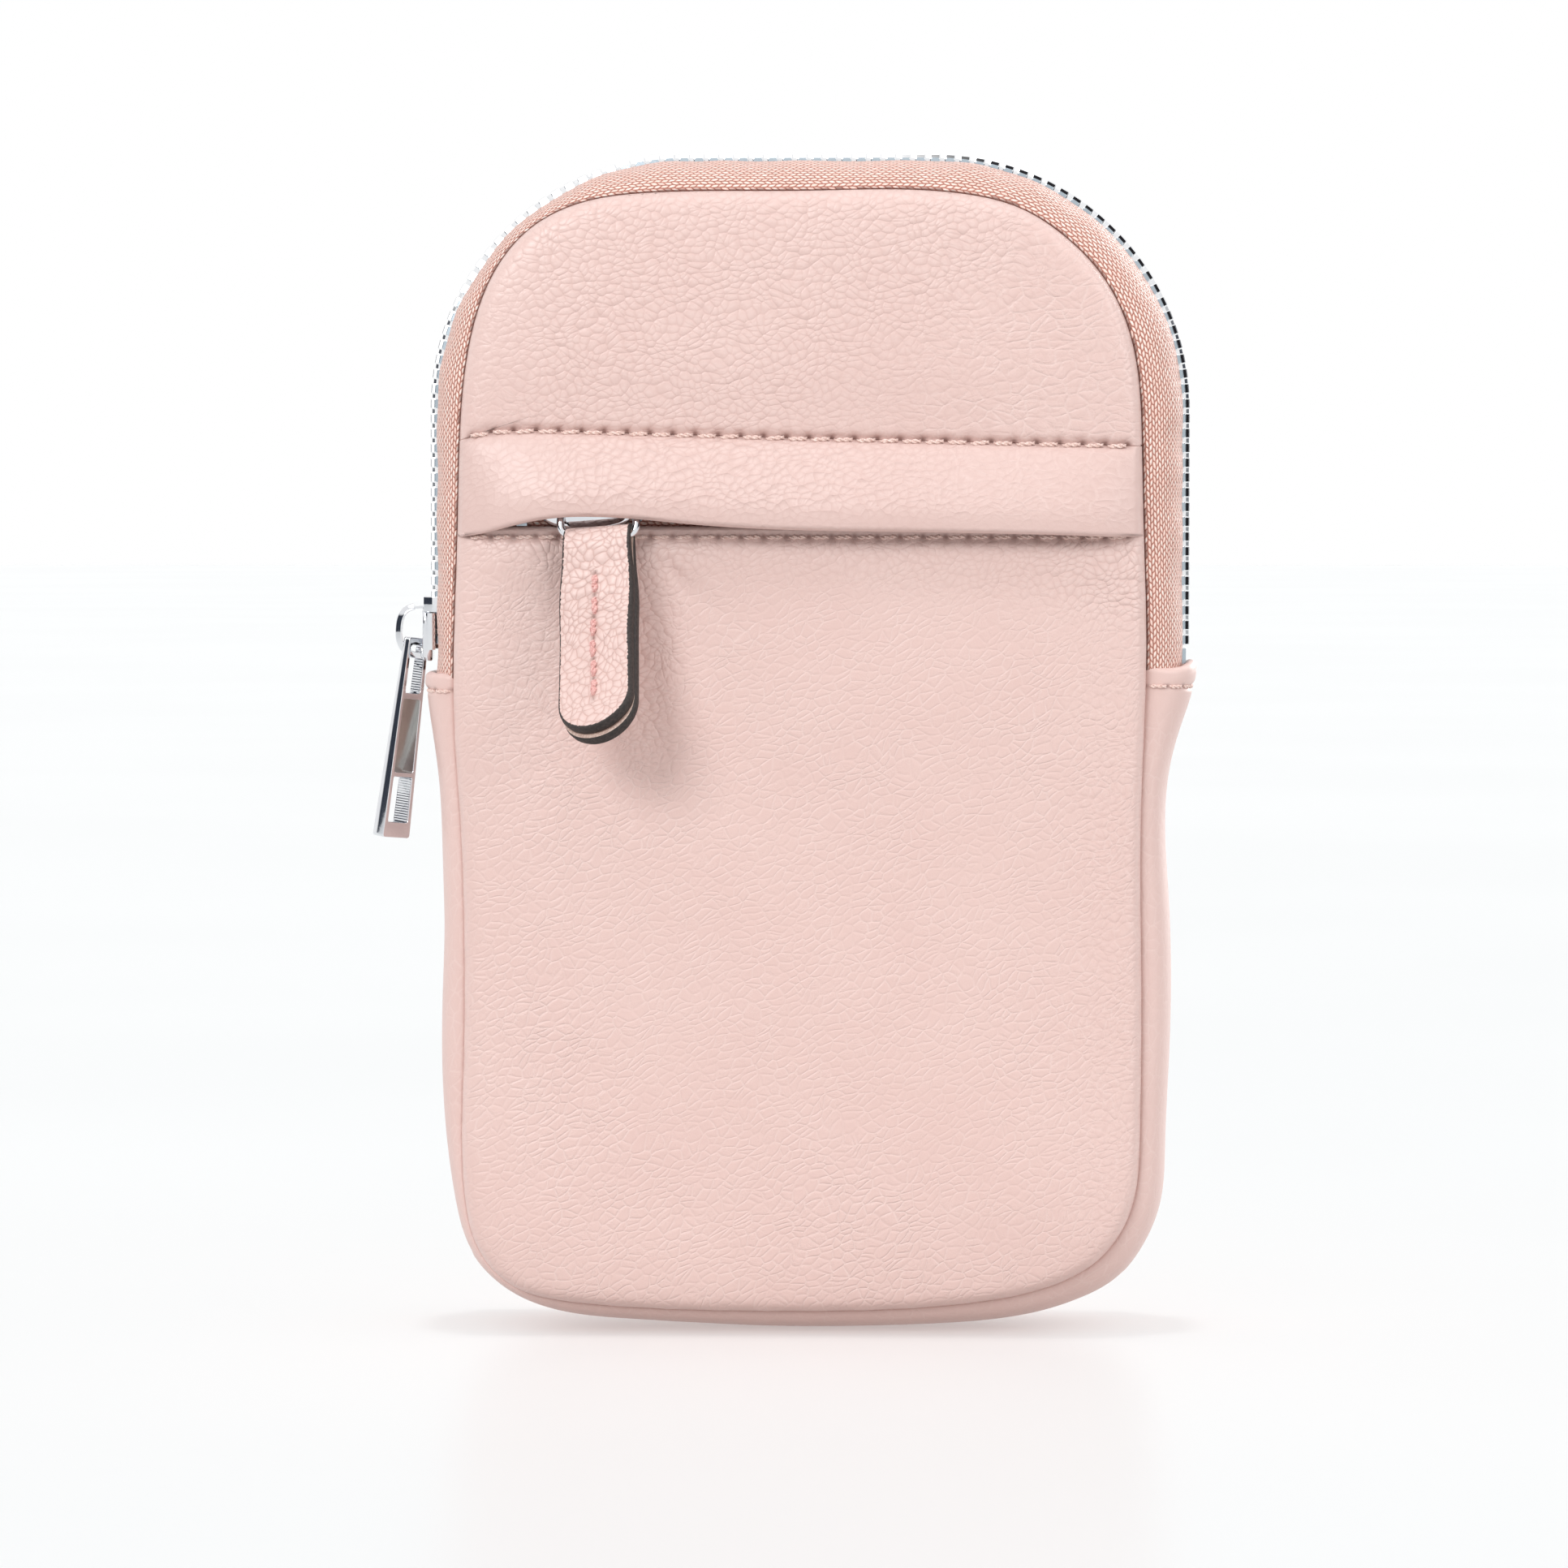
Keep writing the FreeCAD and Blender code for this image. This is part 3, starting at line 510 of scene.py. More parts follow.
# the groove is coloured light at the left and middle and near black on the right: painted highlight on the left,
# painted shade on the right
_nt = M_TOOTH_GROOVE_SHADE_HIGHLIGHT.node_tree
_b = next(n_ for n_ in _nt.nodes if n_.type == "BSDF_PRINCIPLED")
_k = Net(_nt)
_nt.links.new(_k.mix(_k.range(_k.sep(_k.obj())[0], 0.004, 0.030), (0.88, 0.89, 0.90, 1), (0.020, 0.019, 0.022, 1)), _b.inputs["Base Color"])
M_RECESS = metal_mat("brushed_recess", (0.46, 0.45, 0.42, 1), 0.34, 700.0)
M_THREAD = thread_mat("topstitch_thread")


# =====================================================================  leather pieces
def ring_steps(ref):
    """Fractions from the edge (0) to the middle (1), finely spaced near the edge; ref is a typical reach in mm."""
    d, step, out = 0.0, 0.14, [0.0]
    while d < ref * 0.97:
        d += step
        step = min(step * 1.13, 1.25)
        out.append(d)
    out = np.array(out)
    return out[out < ref * 0.985] / ref


def radial_panel(name, loop, seam, centre, ref, shape, mat, side, turn, flat_at):
    """A leather panel: rings from its outline to its middle. seam tells which outline points are sewn into the seam;
    the others belong to a turned edge. shape(X, Z, D) gives y, the grain's strength, its kind and the stitch holes'
    painted shade. turn lists (dz, dy) for the turned edge's way round to the inside."""
    loop, seam, centre = np.asarray(loop, float), np.asarray(seam, bool), np.asarray(centre, float)
    f = ring_steps(ref)
    N, R = len(loop), len(f)
    P = centre + (loop[None] - centre) * (1 - f)[:, None, None]
    X, Z = P[..., 0], P[..., 1]
    D = seam_distance(X, Z)
    D[0, seam] = 0.0
    y, amp, mixp, hole_shade = shape(X, Z, D)
    V = np.stack([X, y, Z], -1)
    rows = [V[k] for k in range(R)]
    amps = [amp[k] for k in range(R)]
    mixes, holes = [mixp[k] for k in range(R)], [hole_shade[k] for k in range(R)]
    e = V[0]
    inward = centre - loop
    inward /= np.linalg.norm(inward, axis=1)[:, None]
    skirt = ((0.12, 0.45), (0.5, 1.0), (1.4, 1.25), (2.4, 1.3), (2.6, 1.3), (2.8, 1.3))
    for q in range(max(len(skirt), len(turn))):
        s_in, s_y = skirt[min(q, len(skirt) - 1)]
        t_z, t_y = turn[min(q, len(turn) - 1)] if turn else (0, 0)
        r = e.copy()
        r[seam, 0] += inward[seam, 0] * s_in
        r[seam, 2] += inward[seam, 1] * s_in
        r[seam, 1] -= side * s_y
        r[~seam, 2] += t_z
        r[~seam, 1] -= side * t_y
        rows.insert(0, r)
        amps.insert(0, amp[0] * 0.3)
        mixes.insert(0, mixp[0])
        holes.insert(0, hole_shade[0] * 0.5)
    A = np.array(rows)
    n = len(A)
    flip = side < 0
    F = grid_faces(n, N, close_m=True, flip=flip)
    verts = np.concatenate([A.reshape(-1, 3), A[-1].mean(0)[None]])
    c = n * N
    for i in range(N):
        t3 = [(n - 1) * N + i, c, (n - 1) * N + (i + 1) % N]
        F.append(t3[::-1] if flip else t3)
    ob = add_mesh(name, verts, F)
    co = np.stack([verts[:, 0] * flat_at[0] + flat_at[1], verts[:, 2], verts[:, 0] * 0], -1)
    vec_attr(ob, "grain_co", co)
    for nm, vals in (("grain_amp", amps), ("grain_mix", mixes), ("hole_shade", holes)):
        num_attr(ob, nm, np.append(np.array(vals).ravel(), np.mean(vals[-1])))
    ob.data.materials.append(mat)
    # faces look outward
    me_ = ob.data
    me_.update()
    ny = sum(p.normal.y * p.area for p in me_.polygons)
    if ny * side < 0:
        me_.flip_normals()
    return ob


EDGE_Z = 122.4   # top edge of the pocket panel
YOKE_Z = 136.1   # stitched edge of the yoke
ST_PITCH = 3.45
ST_X0 = -49.2    # first stitch


def from_hole(X):
    """Distance along a stitch row from the nearest needle puncture, which lies between two stitches."""
    return (((np.asarray(X, float) - ST_X0) / ST_PITCH) % 1.0 - 0.5) * ST_PITCH


def yoke_z(x):
    """Height of the stitched line: it falls to the right and dips at its left end."""
    return YOKE_Z + np.interp(x, [-53, -51.5, -49, -45, -40, -30, -15, 0, 20, 40, 52], [-0.1, 0.3, 1.05, 1.5, 1.5, 1.25, 0.8, 0.35, -0.1, -0.55, -0.85])


def level(z, n=2):
    a, b = SEAM[cut_seam(z, False)], SEAM[cut_seam(z, True)]
    return np.stack([np.linspace(a[0], b[0], n), np.linspace(a[1], b[1], n)], 1)


# ---- front pocket panel
def pocket_shape(X, Z, D):
    inner = smooth(3, 16, D)
    dome = (0.9 * smooth(119, 92, Z) + 0.15) * (1 - np.exp(-D / 17.0))
    y = -SEAM_Y - lift(D) - dome
    y -= 0.28 * swell(X, Z) * inner
    # soft hollow that runs down from the pocket's opening, right of the pull tab, and small pulls towards the slider
    hollow = np.exp(-((X + 22.5 + (110 - Z) * 0.05) / 4.2) ** 2) * smooth(78, 96, Z) * smooth(123, 112, Z)
    y += 0.55 * hollow + 1.05 * np.exp(-((X + 33.9) / 4.5) ** 4 - ((Z - 115.5) / 7.5) ** 4)
    for cx, cz, ang, w, ln, a in ((-44, 116.5, 0.5, 0.8, 6, 0.22), (-42, 113.0, 0.62, 0.9, 7, 0.20), (-40, 117.5, 0.8, 0.7, 4.5, 0.2),
                                  (-46, 109.5, 0.42, 1.1, 7, 0.16), (-20, 116.0, -0.9, 1.1, 6, 0.22), (-16, 113.0, -0.75, 1.3, 8, 0.16),
                                  (-47, 98, 0.3, 1.5, 8, 0.15), (-44, 92, 0.45, 1.6, 9, 0.14), (-41, 86, 0.5, 1.6, 9, 0.12)):
        du, dv = X - cx, Z - cz
        along, across = du * math.cos(ang) + dv * math.sin(ang), -du * math.sin(ang) + dv * math.cos(ang)
        y += a * np.exp(-(across / w) ** 2 - (along / ln) ** 2) * inner
    # stitches draw the top edge in
    y -= 0.5 * np.exp(-((EDGE_Z - 4.5 - Z) / 3.6) ** 2) * smooth(1.5, 8.0, D)
    pin = np.exp(-(from_hole(X) / 0.75) ** 2)
    y += (0.30 + 0.30 * pin) * np.exp(-((EDGE_Z - 1.0 - Z) / 0.9) ** 2) * smooth(1.0, 4.0, D)
    # painted shade in the stitch holes under the top edge
    hole_shade = np.exp(-(from_hole(X) / 0.50) ** 2 - ((EDGE_Z - 0.85 - Z) / 0.42) ** 2) * smooth(0.3, 1.5, D)
    amp = (0.5 + 0.5 * smooth(0.2, 1.8, D)) * (0.35 + 0.65 * smooth(EDGE_Z - 0.5, EDGE_Z - 2.5, Z))
    amp = amp * (0.70 + 0.30 * smooth(-50, -38, X)) * (0.85 + 0.15 * swell(X * 2, Z * 2))
    amp = amp * (1.0 + 0.35 * smooth(30, 14, D) + 0.55 * np.exp(-((X + 32) / 18.0) ** 4 - ((Z - 100) / 24.0) ** 4))
    # round pebbles under the flap, in the hollow and towards the right edge; flat creased plates over the rest
    mixp = 0.75 * smooth(110, 119, Z + 0.10 * X) + 0.35 * smooth(34, 46, X) + 0.35 * hollow
    mixp = mixp + 0.35 * np.exp(-((X + 34) / 17.0) ** 4 - ((Z - 104) / 21.0) ** 4)
    return y, amp, np.clip(mixp, 0, 0.9), hole_shade


def outline(i, j, z, n_seam, n_edge):
    """Closed outline: along the seam from index i to j, then back along the level edge at z."""
    a = resample(seam_run(i, j), n_seam)
    b = resample(np.stack([a[-1], a[0]]), n_edge)[1:-1]
    return np.vstack([a, b]), np.concatenate([np.ones(len(a), bool), np.zeros(len(b), bool)])


iL, iR = cut_seam(EDGE_Z, False), cut_seam(EDGE_Z, True)
loop_, seam_ = outline(iL, iR, EDGE_Z, 470, 420)
front_panel = radial_panel("front_pocket_panel", loop_, seam_, (0, 66), 56, pocket_shape, M_LEATHER, -1,
                           ((0.35, 0.12), (0.6, 0.45), (0.6, 0.95), (0.3, 1.4), (-0.6, 1.55), (-4.0, 1.6)), (1, 0))


# ---- yoke
def yoke_shape(X, Z, D):
    inner = smooth(3, 14, D)
    up = Z - yoke_z(X)
    y = -SEAM_Y - lift(D) - 0.55 * (1 - np.exp(-D / 14.0)) * smooth(0, 12, up)
    y -= 0.26 * swell(X * 1.2 + 40, Z * 1.2) * inner
    pin = np.exp(-(from_hole(X) / 0.85) ** 2)
    y += (0.55 + 0.35 * pin) * np.exp(-(up / 0.75) ** 2) * smooth(0.6, 2.5, D)
    y += 0.22 * pin * np.exp(-(up / 2.2) ** 2) * smooth(1.0, 4.0, D)
    # painted shade in the stitch holes along the stitched edge
    hole_shade = np.exp(-(from_hole(X) / 0.46) ** 2 - ((up - 0.12) / 0.40) ** 2) * smooth(0.6, 2.0, D)
    amp = (0.55 + 0.45 * smooth(0.2, 1.6, D)) * (0.65 + 0.35 * smooth(0, 2.0, up)) * (0.72 + 0.10 * smooth(-51, -40, X) + 0.50 * smooth(8, 34, X))
    mixp = 0.25 + 0.7 * smooth(34, -2, X - 0.9 * (Z - 150)) * smooth(-52, -36, X)
    return y, amp, np.clip(mixp, 0, 1), hole_shade


jL, jR = cut_seam(float(yoke_z(-52)), False), cut_seam(float(yoke_z(51)), True)
loop_, seam_ = outline(jR, jL, YOKE_Z, 320, 420)
loop_[~seam_, 1] = yoke_z(loop_[~seam_, 0])
yoke = radial_panel("front_yoke_leather", loop_, seam_, (0, 153), 26, yoke_shape, M_YOKE, -1,
                    ((-0.14, 0.30), (-0.12, 0.75), (0.3, 1.1), (2.5, 1.3)), (1, 0))


# ---- back panel
def back_shape(X, Z, D):
    y = SEAM_Y + lift(D) + 0.25 * swell(X + 60, Z) * smooth(3, 14, D)
    return y, 0.3 + 0.7 * smooth(0.3, 2.6, D), 0.3 + 0.3 * swell(X, Z + 30), 0 * X


loop_ = resample(np.vstack([SEAM, SEAM[:1]]), 561)[:-1]
back = radial_panel("back_panel_leather", loop_, np.ones(len(loop_), bool), (0, 88), 58, back_shape, M_LEATHER, 1, (), (-1, 200))

# =====================================================================  gusset, tape: strips that follow the seam
MID_LOW = [(59.8, 101.1), (59.4, 98.2), (57.6, 92.5), (55.9, 86), (55.3, 79), (55.7, 66), (56.0, 54), (55.9, 41.5), (55.5, 28),
           (54.6, 18.4), (51.8, 12.2), (47.6, 7.2), (43, 4.7), (38.4, 3.0), (32.4, 1.6), (25, 0.75), (17.6, 0.35), (9, 0.08), (2.9, 0.0),
           (-5, 0.05), (-12, 0.3), (-19, 0.65), (-26.7, 1.1), (-36.0, 2.0), (-42.0, 3.7), (-47.0, 6.6), (-51.9, 12.3), (-53.7, 18.4),
           (-55.2, 30), (-55.8, 41.5), (-55.8, 54), (-55.7, 62), (-55.9, 70), (-56.2, 83), (-57.4, 92), (-58.1, 97.2), (-58.3, 99.95)]


def open_spline(pts, n):
    p = np.asarray(pts, float)
    k = len(p)
    h = np.linalg.norm(np.diff(p, axis=0), axis=1)
    A = np.zeros((k, k))
    rhs = np.zeros((k, p.shape[1]))
    A[0, 0] = A[-1, -1] = 1
    for i in range(1, k - 1):
        A[i, i - 1], A[i, i], A[i, i + 1] = h[i - 1], 2 * (h[i - 1] + h[i]), h[i]
        rhs[i] = 6 * ((p[i + 1] - p[i]) / h[i] - (p[i] - p[i - 1]) / h[i - 1])
    m = np.linalg.solve(A, rhs)
    out = []
    for i in range(k - 1):
        t = np.linspace(0, 1, 40, endpoint=False)[:, None] * h[i]
        r = h[i] - t
        out.append(m[i] * r ** 3 / (6 * h[i]) + m[i + 1] * t ** 3 / (6 * h[i])
                   + (p[i] / h[i] - m[i] * h[i] / 6) * r + (p[i + 1] / h[i] - m[i + 1] * h[i] / 6) * t)
    q = np.vstack(out + [p[-1:]])
    return resample(q, n)


def matched(run, mid, keep_z=False):
    """For each point of the run along the seam, the point of mid that its normal meets."""
    t = np.gradient(run, axis=0)
    t /= np.linalg.norm(t, axis=1)[:, None]
    nrm = np.stack([t[:, 1], -t[:, 0]], 1)
    out = np.empty_like(run)
    for i, (p, v) in enumerate(zip(run, nrm)):
        w = mid - p
        side = w[:, 0] * v[1] - w[:, 1] * v[0]
        ahead = w @ v
        cross = np.where((np.sign(side[:-1]) != np.sign(side[1:])) & (ahead[:-1] > 0) & (ahead[:-1] < 14))[0]
        if len(cross):
            c = cross[np.argmin(ahead[cross])]
            f = side[c] / (side[c] - side[c + 1])
            out[i] = mid[c] + f * (mid[c + 1] - mid[c])
        else:
            out[i] = mid[np.argmin(np.hypot(*w.T))]
    k = np.array([1, 2, 3, 4, 3, 2, 1], float)
    k /= k.sum()
    pad = np.vstack([out[:1]] * 3 + [out] + [out[-1:]] * 3)
    sm = np.stack([np.convolve(pad[:, i], k, "valid") for i in range(2)], 1)
    sm[0], sm[-1] = out[0], out[-1]
    return sm


HEM_Z = (99.9, 101.05)     # left and right
a0, a1 = cut_seam(HEM_Z[1], True), cut_seam(HEM_Z[0], False)
low_run = seam_run(a1, a0)       # down the left side, along the base, up the right side
L_ = length_of(low_run)
low_run = resample(low_run, at=np.concatenate([np.linspace(0, 7, 30), np.linspace(7, L_ - 7, 290)[1:-1], np.linspace(L_ - 7, L_, 30)]) / L_)
mid_low = open_spline(MID_LOW[::-1], 900)       # same direction
mid_pts = matched(low_run, mid_low)
mid_pts[0], mid_pts[-1] = mid_low[0], mid_low[-1]
s_low = np.concatenate([[0], np.cumsum(np.linalg.norm(np.diff(low_run, axis=0), axis=1))])

qs = np.array([-1, -0.995, -0.985, -0.965, -0.93, -0.88, -0.81, -0.72, -0.6, -0.45, -0.3, -0.15, 0, 0.15, 0.3, 0.45, 0.6, 0.72, 0.81,
               0.88, 0.93, 0.965, 0.985, 0.995, 1])
qs = np.unique(np.round(np.concatenate([qs, np.linspace(-0.93, 0.93, 95)]), 4))


def gusset_profile(q):
    return (1 - np.abs(q) ** 3.2) ** 0.5


Vg, co_g, am_g, ho_g = [], [], [], []
HEM_ST, HEM_P = (1.85, 2.5), 3.3     # stitches this far below each hem's fold, and their pitch
zs = low_run[:, 1]
side_len = np.minimum(s_low, s_low[-1] - s_low)      # from the hems
for i in range(len(low_run)):
    s, m2 = low_run[i], mid_pts[i]
    e = gusset_profile(qs)
    pos = s[None] + (m2 - s)[None] * e[:, None]
    yy = qs * (SEAM_Y - 0.05)
    # hem: stitched down, with a soft roll above the stitches
    t = side_len[i]
    right_ = i > len(low_run) // 2
    hs = HEM_ST[1] if right_ else HEM_ST[0]
    roll = 0.24 * bump(t, 0.9, 1.0) - 0.45 * bump(t, hs, 0.45)
    nrm = (m2 - s) / max(1e-6, np.linalg.norm(m2 - s))
    pos = pos + nrm[None] * roll * (e ** 1.5)[:, None]
    wav = 0.18 * np.sin(s_low[i] * 0.11 + 1.0) * e * smooth(8, 30, t)
    pos = pos + nrm[None] * wav[:, None] * (1 if low_run[i, 1] > 12 else 0)
    if right_:     # this hem curls up at its outer end
        pos[:, 1] += float(smooth(2.2, 0.0, t)) * (0.7 * e ** 8 - 1.5 * e * (1 - e))
    pos[:, 1] = np.maximum(pos[:, 1], 0.0)
    Vg.append(np.stack([pos[:, 0], yy, pos[:, 1]], 1))
    arc = np.concatenate([[0], np.cumsum(np.hypot(np.diff(yy), np.linalg.norm(np.diff(pos, axis=0), axis=1)))])
    co_g.append(np.stack([arc, np.full(len(qs), s_low[i]), np.zeros(len(qs))], 1))
    am_g.append(np.full(len(qs), 0.75) * smooth(2, 9, t))
    # painted shade in the hems' stitch holes
    gap_ = ((arc - 1.9) / HEM_P % 1.0 - 0.5) * HEM_P
    ho_g.append(np.exp(-(gap_ / 0.42) ** 2 - ((t - hs + 0.15) / 0.33) ** 2))
Vg = np.array(Vg)
# turn the hems over to the inside
centre = np.array([0.0, 0.0, 60.0])


def hem_rows(row, s_sign):
    out = []
    for up, inn in ((0.35, 0.12), (0.62, 0.45), (0.70, 0.9), (0.45, 1.45), (-0.4, 1.75), (-2.5, 1.85), (-6.0, 1.9)):
        r = row.copy()
        r[:, 2] += up
        # shrink towards the middle of the strip's section
        cx = s_sign * (abs(row[:, 0]).min())
        f = 1 - inn / 12.4
        r[:, 1] = row[:, 1] * f
        r[:, 0] = row[:, 0] - s_sign * inn * np.clip((np.abs(row[:, 0]) - abs(cx)) / 3.0, 0, 1)
        out.append(r)
    return out


left_rows = hem_rows(Vg[0], -1)
right_rows = hem_rows(Vg[-1], 1)
allg = np.concatenate([np.array(left_rows[::-1]), Vg, np.array(right_rows)])
co_all = np.concatenate([np.array([co_g[0]] * len(left_rows)), np.array(co_g), np.array([co_g[-1]] * len(right_rows))])
am_all = np.concatenate([np.array([am_g[0]] * len(left_rows)), np.array(am_g), np.array([am_g[-1]] * len(right_rows))])
ho_all = np.concatenate([np.array([ho_g[0]] * len(left_rows)) * 0, np.array(ho_g), np.array([ho_g[-1]] * len(right_rows)) * 0])
# the two long edges dive into the seams
first, last = allg[:, 0].copy(), allg[:, -1].copy()
ctr = np.array([0.0, 0.0, 88.0])


def dive(e, dy, inset):
    r = e.copy()
    d = ctr - r
    d[:, 1] = 0
    d /= np.linalg.norm(d, axis=1)[:, None]
    r += d * inset
    r[:, 1] += dy
    return r


allg = np.concatenate([dive(first, 1.4, 1.6)[:, None], dive(first, 0.6, 0.35)[:, None], allg,
                       dive(last, -0.6, 0.35)[:, None], dive(last, -1.4, 1.6)[:, None]], 1)
co_all = np.concatenate([co_all[:, :1], co_all[:, :1], co_all, co_all[:, -1:], co_all[:, -1:]], 1)
am_all = np.concatenate([am_all[:, :1], am_all[:, :1], am_all, am_all[:, -1:], am_all[:, -1:]], 1)
ho_all = np.concatenate([ho_all[:, :1], ho_all[:, :1], ho_all, ho_all[:, -1:], ho_all[:, -1:]], 1)
gusset = add_mesh("gusset_leather", allg.reshape(-1, 3), grid_faces(*allg.shape[:2], flip=True))
vec_attr(gusset, "grain_co", co_all)
num_attr(gusset, "grain_amp", am_all)
num_attr(gusset, "hole_shade", ho_all)
gusset.data.materials.append(M_GUSSET)

# ---- zip tapes, front and back
ZL, ZR, ZT, RT = -56.55, 57.75, 178.85, 38.0     # the zip leans a little to the right of the middle


def arch(off, n=1400, z0=92.0):
    """The line of the zip over the top, off outward of the tape's outer face, from left to right."""
    r = RT + off
    a = np.linspace(math.pi, math.pi / 2, 300)
    left = np.stack([ZL + RT + r * np.cos(a), ZT - RT + r * np.sin(a)], 1)
    b = np.linspace(math.pi / 2, 0, 300)
    right = np.stack([ZR - RT + r * np.cos(b), ZT - RT + r * np.sin(b)], 1)
    return resample(np.vstack([[(ZL - off, z0)], left, right, [(ZR + off, z0)]]), n)


TAPE_Z0 = 97.5
c0, c1 = cut_seam(TAPE_Z0, True), cut_seam(TAPE_Z0, False)
up_run = resample(seam_run(c0, c1), 420)[::-1]     # left hem, over the top, right hem
arch_line = arch(0.0)
nr = matched(up_run[::-1], arch_line[::-1])[::-1]
s_up = np.concatenate([[0], np.cumsum(np.linalg.norm(np.diff(up_run, axis=0), axis=1))])
qt = np.array([0, 0.004, 0.015, 0.035, 0.07, 0.12, 0.18, 0.26, 0.35, 0.45, 0.56, 0.67, 0.78, 0.88, 0.95, 1.0])


def tape_piece(name, side):
    V, C = [], []
    for i in range(len(up_run)):
        s, m2 = up_run[i], nr[i]
        e = (1 - (1 - qt) ** 2.3) ** 0.62
        pos = s[None] + (m2 - s)[None] * e[:, None]
        nrm = (m2 - s) / np.linalg.norm(m2 - s)
        ripple = 0.16 * np.sin(s_up[i] * 0.55 + 1.3 * math.sin(s_up[i] * 0.13)) * np.sin(np.pi * qt)
        pos = pos + nrm[None] * ripple[:, None]
        yy = -SEAM_Y + 0.05 + (SEAM_Y - 1.55) * qt
        V.append(np.stack([pos[:, 0], yy, pos[:, 1]], 1))
        arc = np.concatenate([[0], np.cumsum(np.hypot(np.diff(yy), np.linalg.norm(np.diff(pos, axis=0), axis=1)))])
        C.append(np.stack([arc, np.full(len(qt), s_up[i]), np.zeros(len(qt))], 1))
    V, C = np.array(V), np.array(C)
    # thickness: the same strip again inside, and an edge round the cord that carries the teeth
    inn = V.copy()
    for i in range(len(V)):
        s, m2 = up_run[i], nr[i]
        nrm = (m2 - s) / np.linalg.norm(m2 - s)
        shrink = 0.25 + 0.65 * np.clip(qt * 6, 0, 1)
        inn[i, :, 0] -= nrm[0] * shrink
        inn[i, :, 2] -= nrm[1] * shrink
        inn[i, :, 1] += 0.35 * (1 - qt)
    edge = (V[:, -1:] + inn[:, -1:]) / 2
    edge[..., 1] += 0.3
    start = dive(V[:, 0], 0.8, 0.5)[:, None]
    allv = np.concatenate([start, V, edge, inn[:, ::-1]], 1)
    allc = np.concatenate([C[:, :1], C, C[:, -1:], C[:, ::-1]], 1)
    if side > 0:
        allv = allv * np.array([1, -1, 1])
    n, m = allv.shape[:2]
    F = grid_faces(n, m, close_m=True, flip=side > 0)
    ends = [list(range(m)), [(n - 1) * m + j for j in reversed(range(m))]]
    F += [f[::-1] for f in ends] if side > 0 else ends
    ob = add_mesh(name, allv.reshape(-1, 3), F)
    vec_attr(ob, "weave_co", allc)
    ob.data.materials.append(M_TAPE)
    return ob


tape_front = tape_piece("front_zip_tape_woven", -1)
tape_back = tape_piece("back_zip_tape_woven", 1)

# =====================================================================  main zip teeth
PITCH = 2.26


def tooth_shape():
    """One tooth: a leg that grips the tape's edge, a groove, a crown and a narrower head. Axes: a along the zip, c
    across (towards the other row), n out.
    Gives vertices, faces and each face's material: 0 leg, 1 crown (painted highlight), 2 groove (painted shade, light
    on the left)."""
    prof = [(-2.95, 0.68, 0.33), (-2.80, 0.80, 0.46), (-2.45, 0.80, 0.46), (-2.32, 0.79, 0.92), (-2.15, 0.78, 1.06), (-1.5, 0.74, 1.10), (-1.0, 0.52, 1.04),
            (-0.55, 0.46, 0.62), (0.35, 0.44, 0.56), (0.68, 0.38, 0.36)]
    rows = []
    for j, (c, half, top) in enumerate(prof):
        low = -1.55 if c > -2.4 else -1.3
        ch = 0.16
        sec = [(-half, low + ch), (-half, top - ch), (-half + ch, top), (half - ch, top), (half, top - ch), (half, low + ch), (half - ch, low), (-half + ch, low)]
        rows.append([(a, c + (0.30 * n if j == 0 else 0.0), n) for a, n in sec])
    R = np.array(rows)
    verts = R.reshape(-1, 3)
    faces, mats = [], []
    for j in range(len(R) - 1):
        for i in range(8):
            faces.append([j * 8 + i, j * 8 + (i + 1) % 8, (j + 1) * 8 + (i + 1) % 8, (j + 1) * 8 + i])
            # most faces take the crown's painted highlight, the leg's outer face the plain teeth metal, one step face
            # the groove's painted shade
            mats.append(2 if j == 2 and i == 2 else 0 if j < 1 and i == 2 else 1)
    faces.append(list(range(7, -1, -1)))
    faces.append([8 * (len(R) - 1) + k for k in range(8)])
    return verts, faces, mats + [0, 1]


TV, TF, TM = tooth_shape()


def along_arch(off_z):
    line = arch(0.0, 4000, 103.0)
    s = np.concatenate([[0], np.cumsum(np.linalg.norm(np.diff(line, axis=0), axis=1))])
    return line, s


def teeth_row(name, count, side):
    line, s = along_arch(0)
    total = s[-1]
    V, F, C = [], [], 0
    for k in range(count):
        t = total / 2 + (k - (count - 1) / 2.0) * PITCH
        p = np.array([np.interp(t, s, line[:, 0]), np.interp(t, s, line[:, 1])])
        q = np.array([np.interp(t + 0.3, s, line[:, 0]), np.interp(t + 0.3, s, line[:, 1])])
        r = np.array([np.interp(t - 0.3, s, line[:, 0]), np.interp(t - 0.3, s, line[:, 1])])
        tan = (q - r) / np.linalg.norm(q - r)
        nrm = np.array([-tan[1], tan[0]])
        v = np.empty((len(TV), 3))
        v[:, 0] = p[0] + TV[:, 0] * tan[0] + TV[:, 2] * nrm[0]
        v[:, 2] = p[1] + TV[:, 0] * tan[1] + TV[:, 2] * nrm[1]
        v[:, 1] = TV[:, 1] * (1 if side < 0 else -1)
        V.append(v)
        F += [[C + x for x in (f if side > 0 else f[::-1])] for f in TF]
        C += len(TV)
    ob = add_mesh(name, np.concatenate(V), F, smooth=False)
    for m_ in (M_TEETH, M_TOOTH_CROWN_HIGHLIGHT, M_TOOTH_GROOVE_SHADE_HIGHLIGHT):
        ob.data.materials.append(m_)
    ob.data.polygons.foreach_set("material_index", TM * count)
    return ob


teeth_front = teeth_row("front_zip_teeth_row", 102, -1)
teeth_back = teeth_row("back_zip_teeth_row", 101, 1)

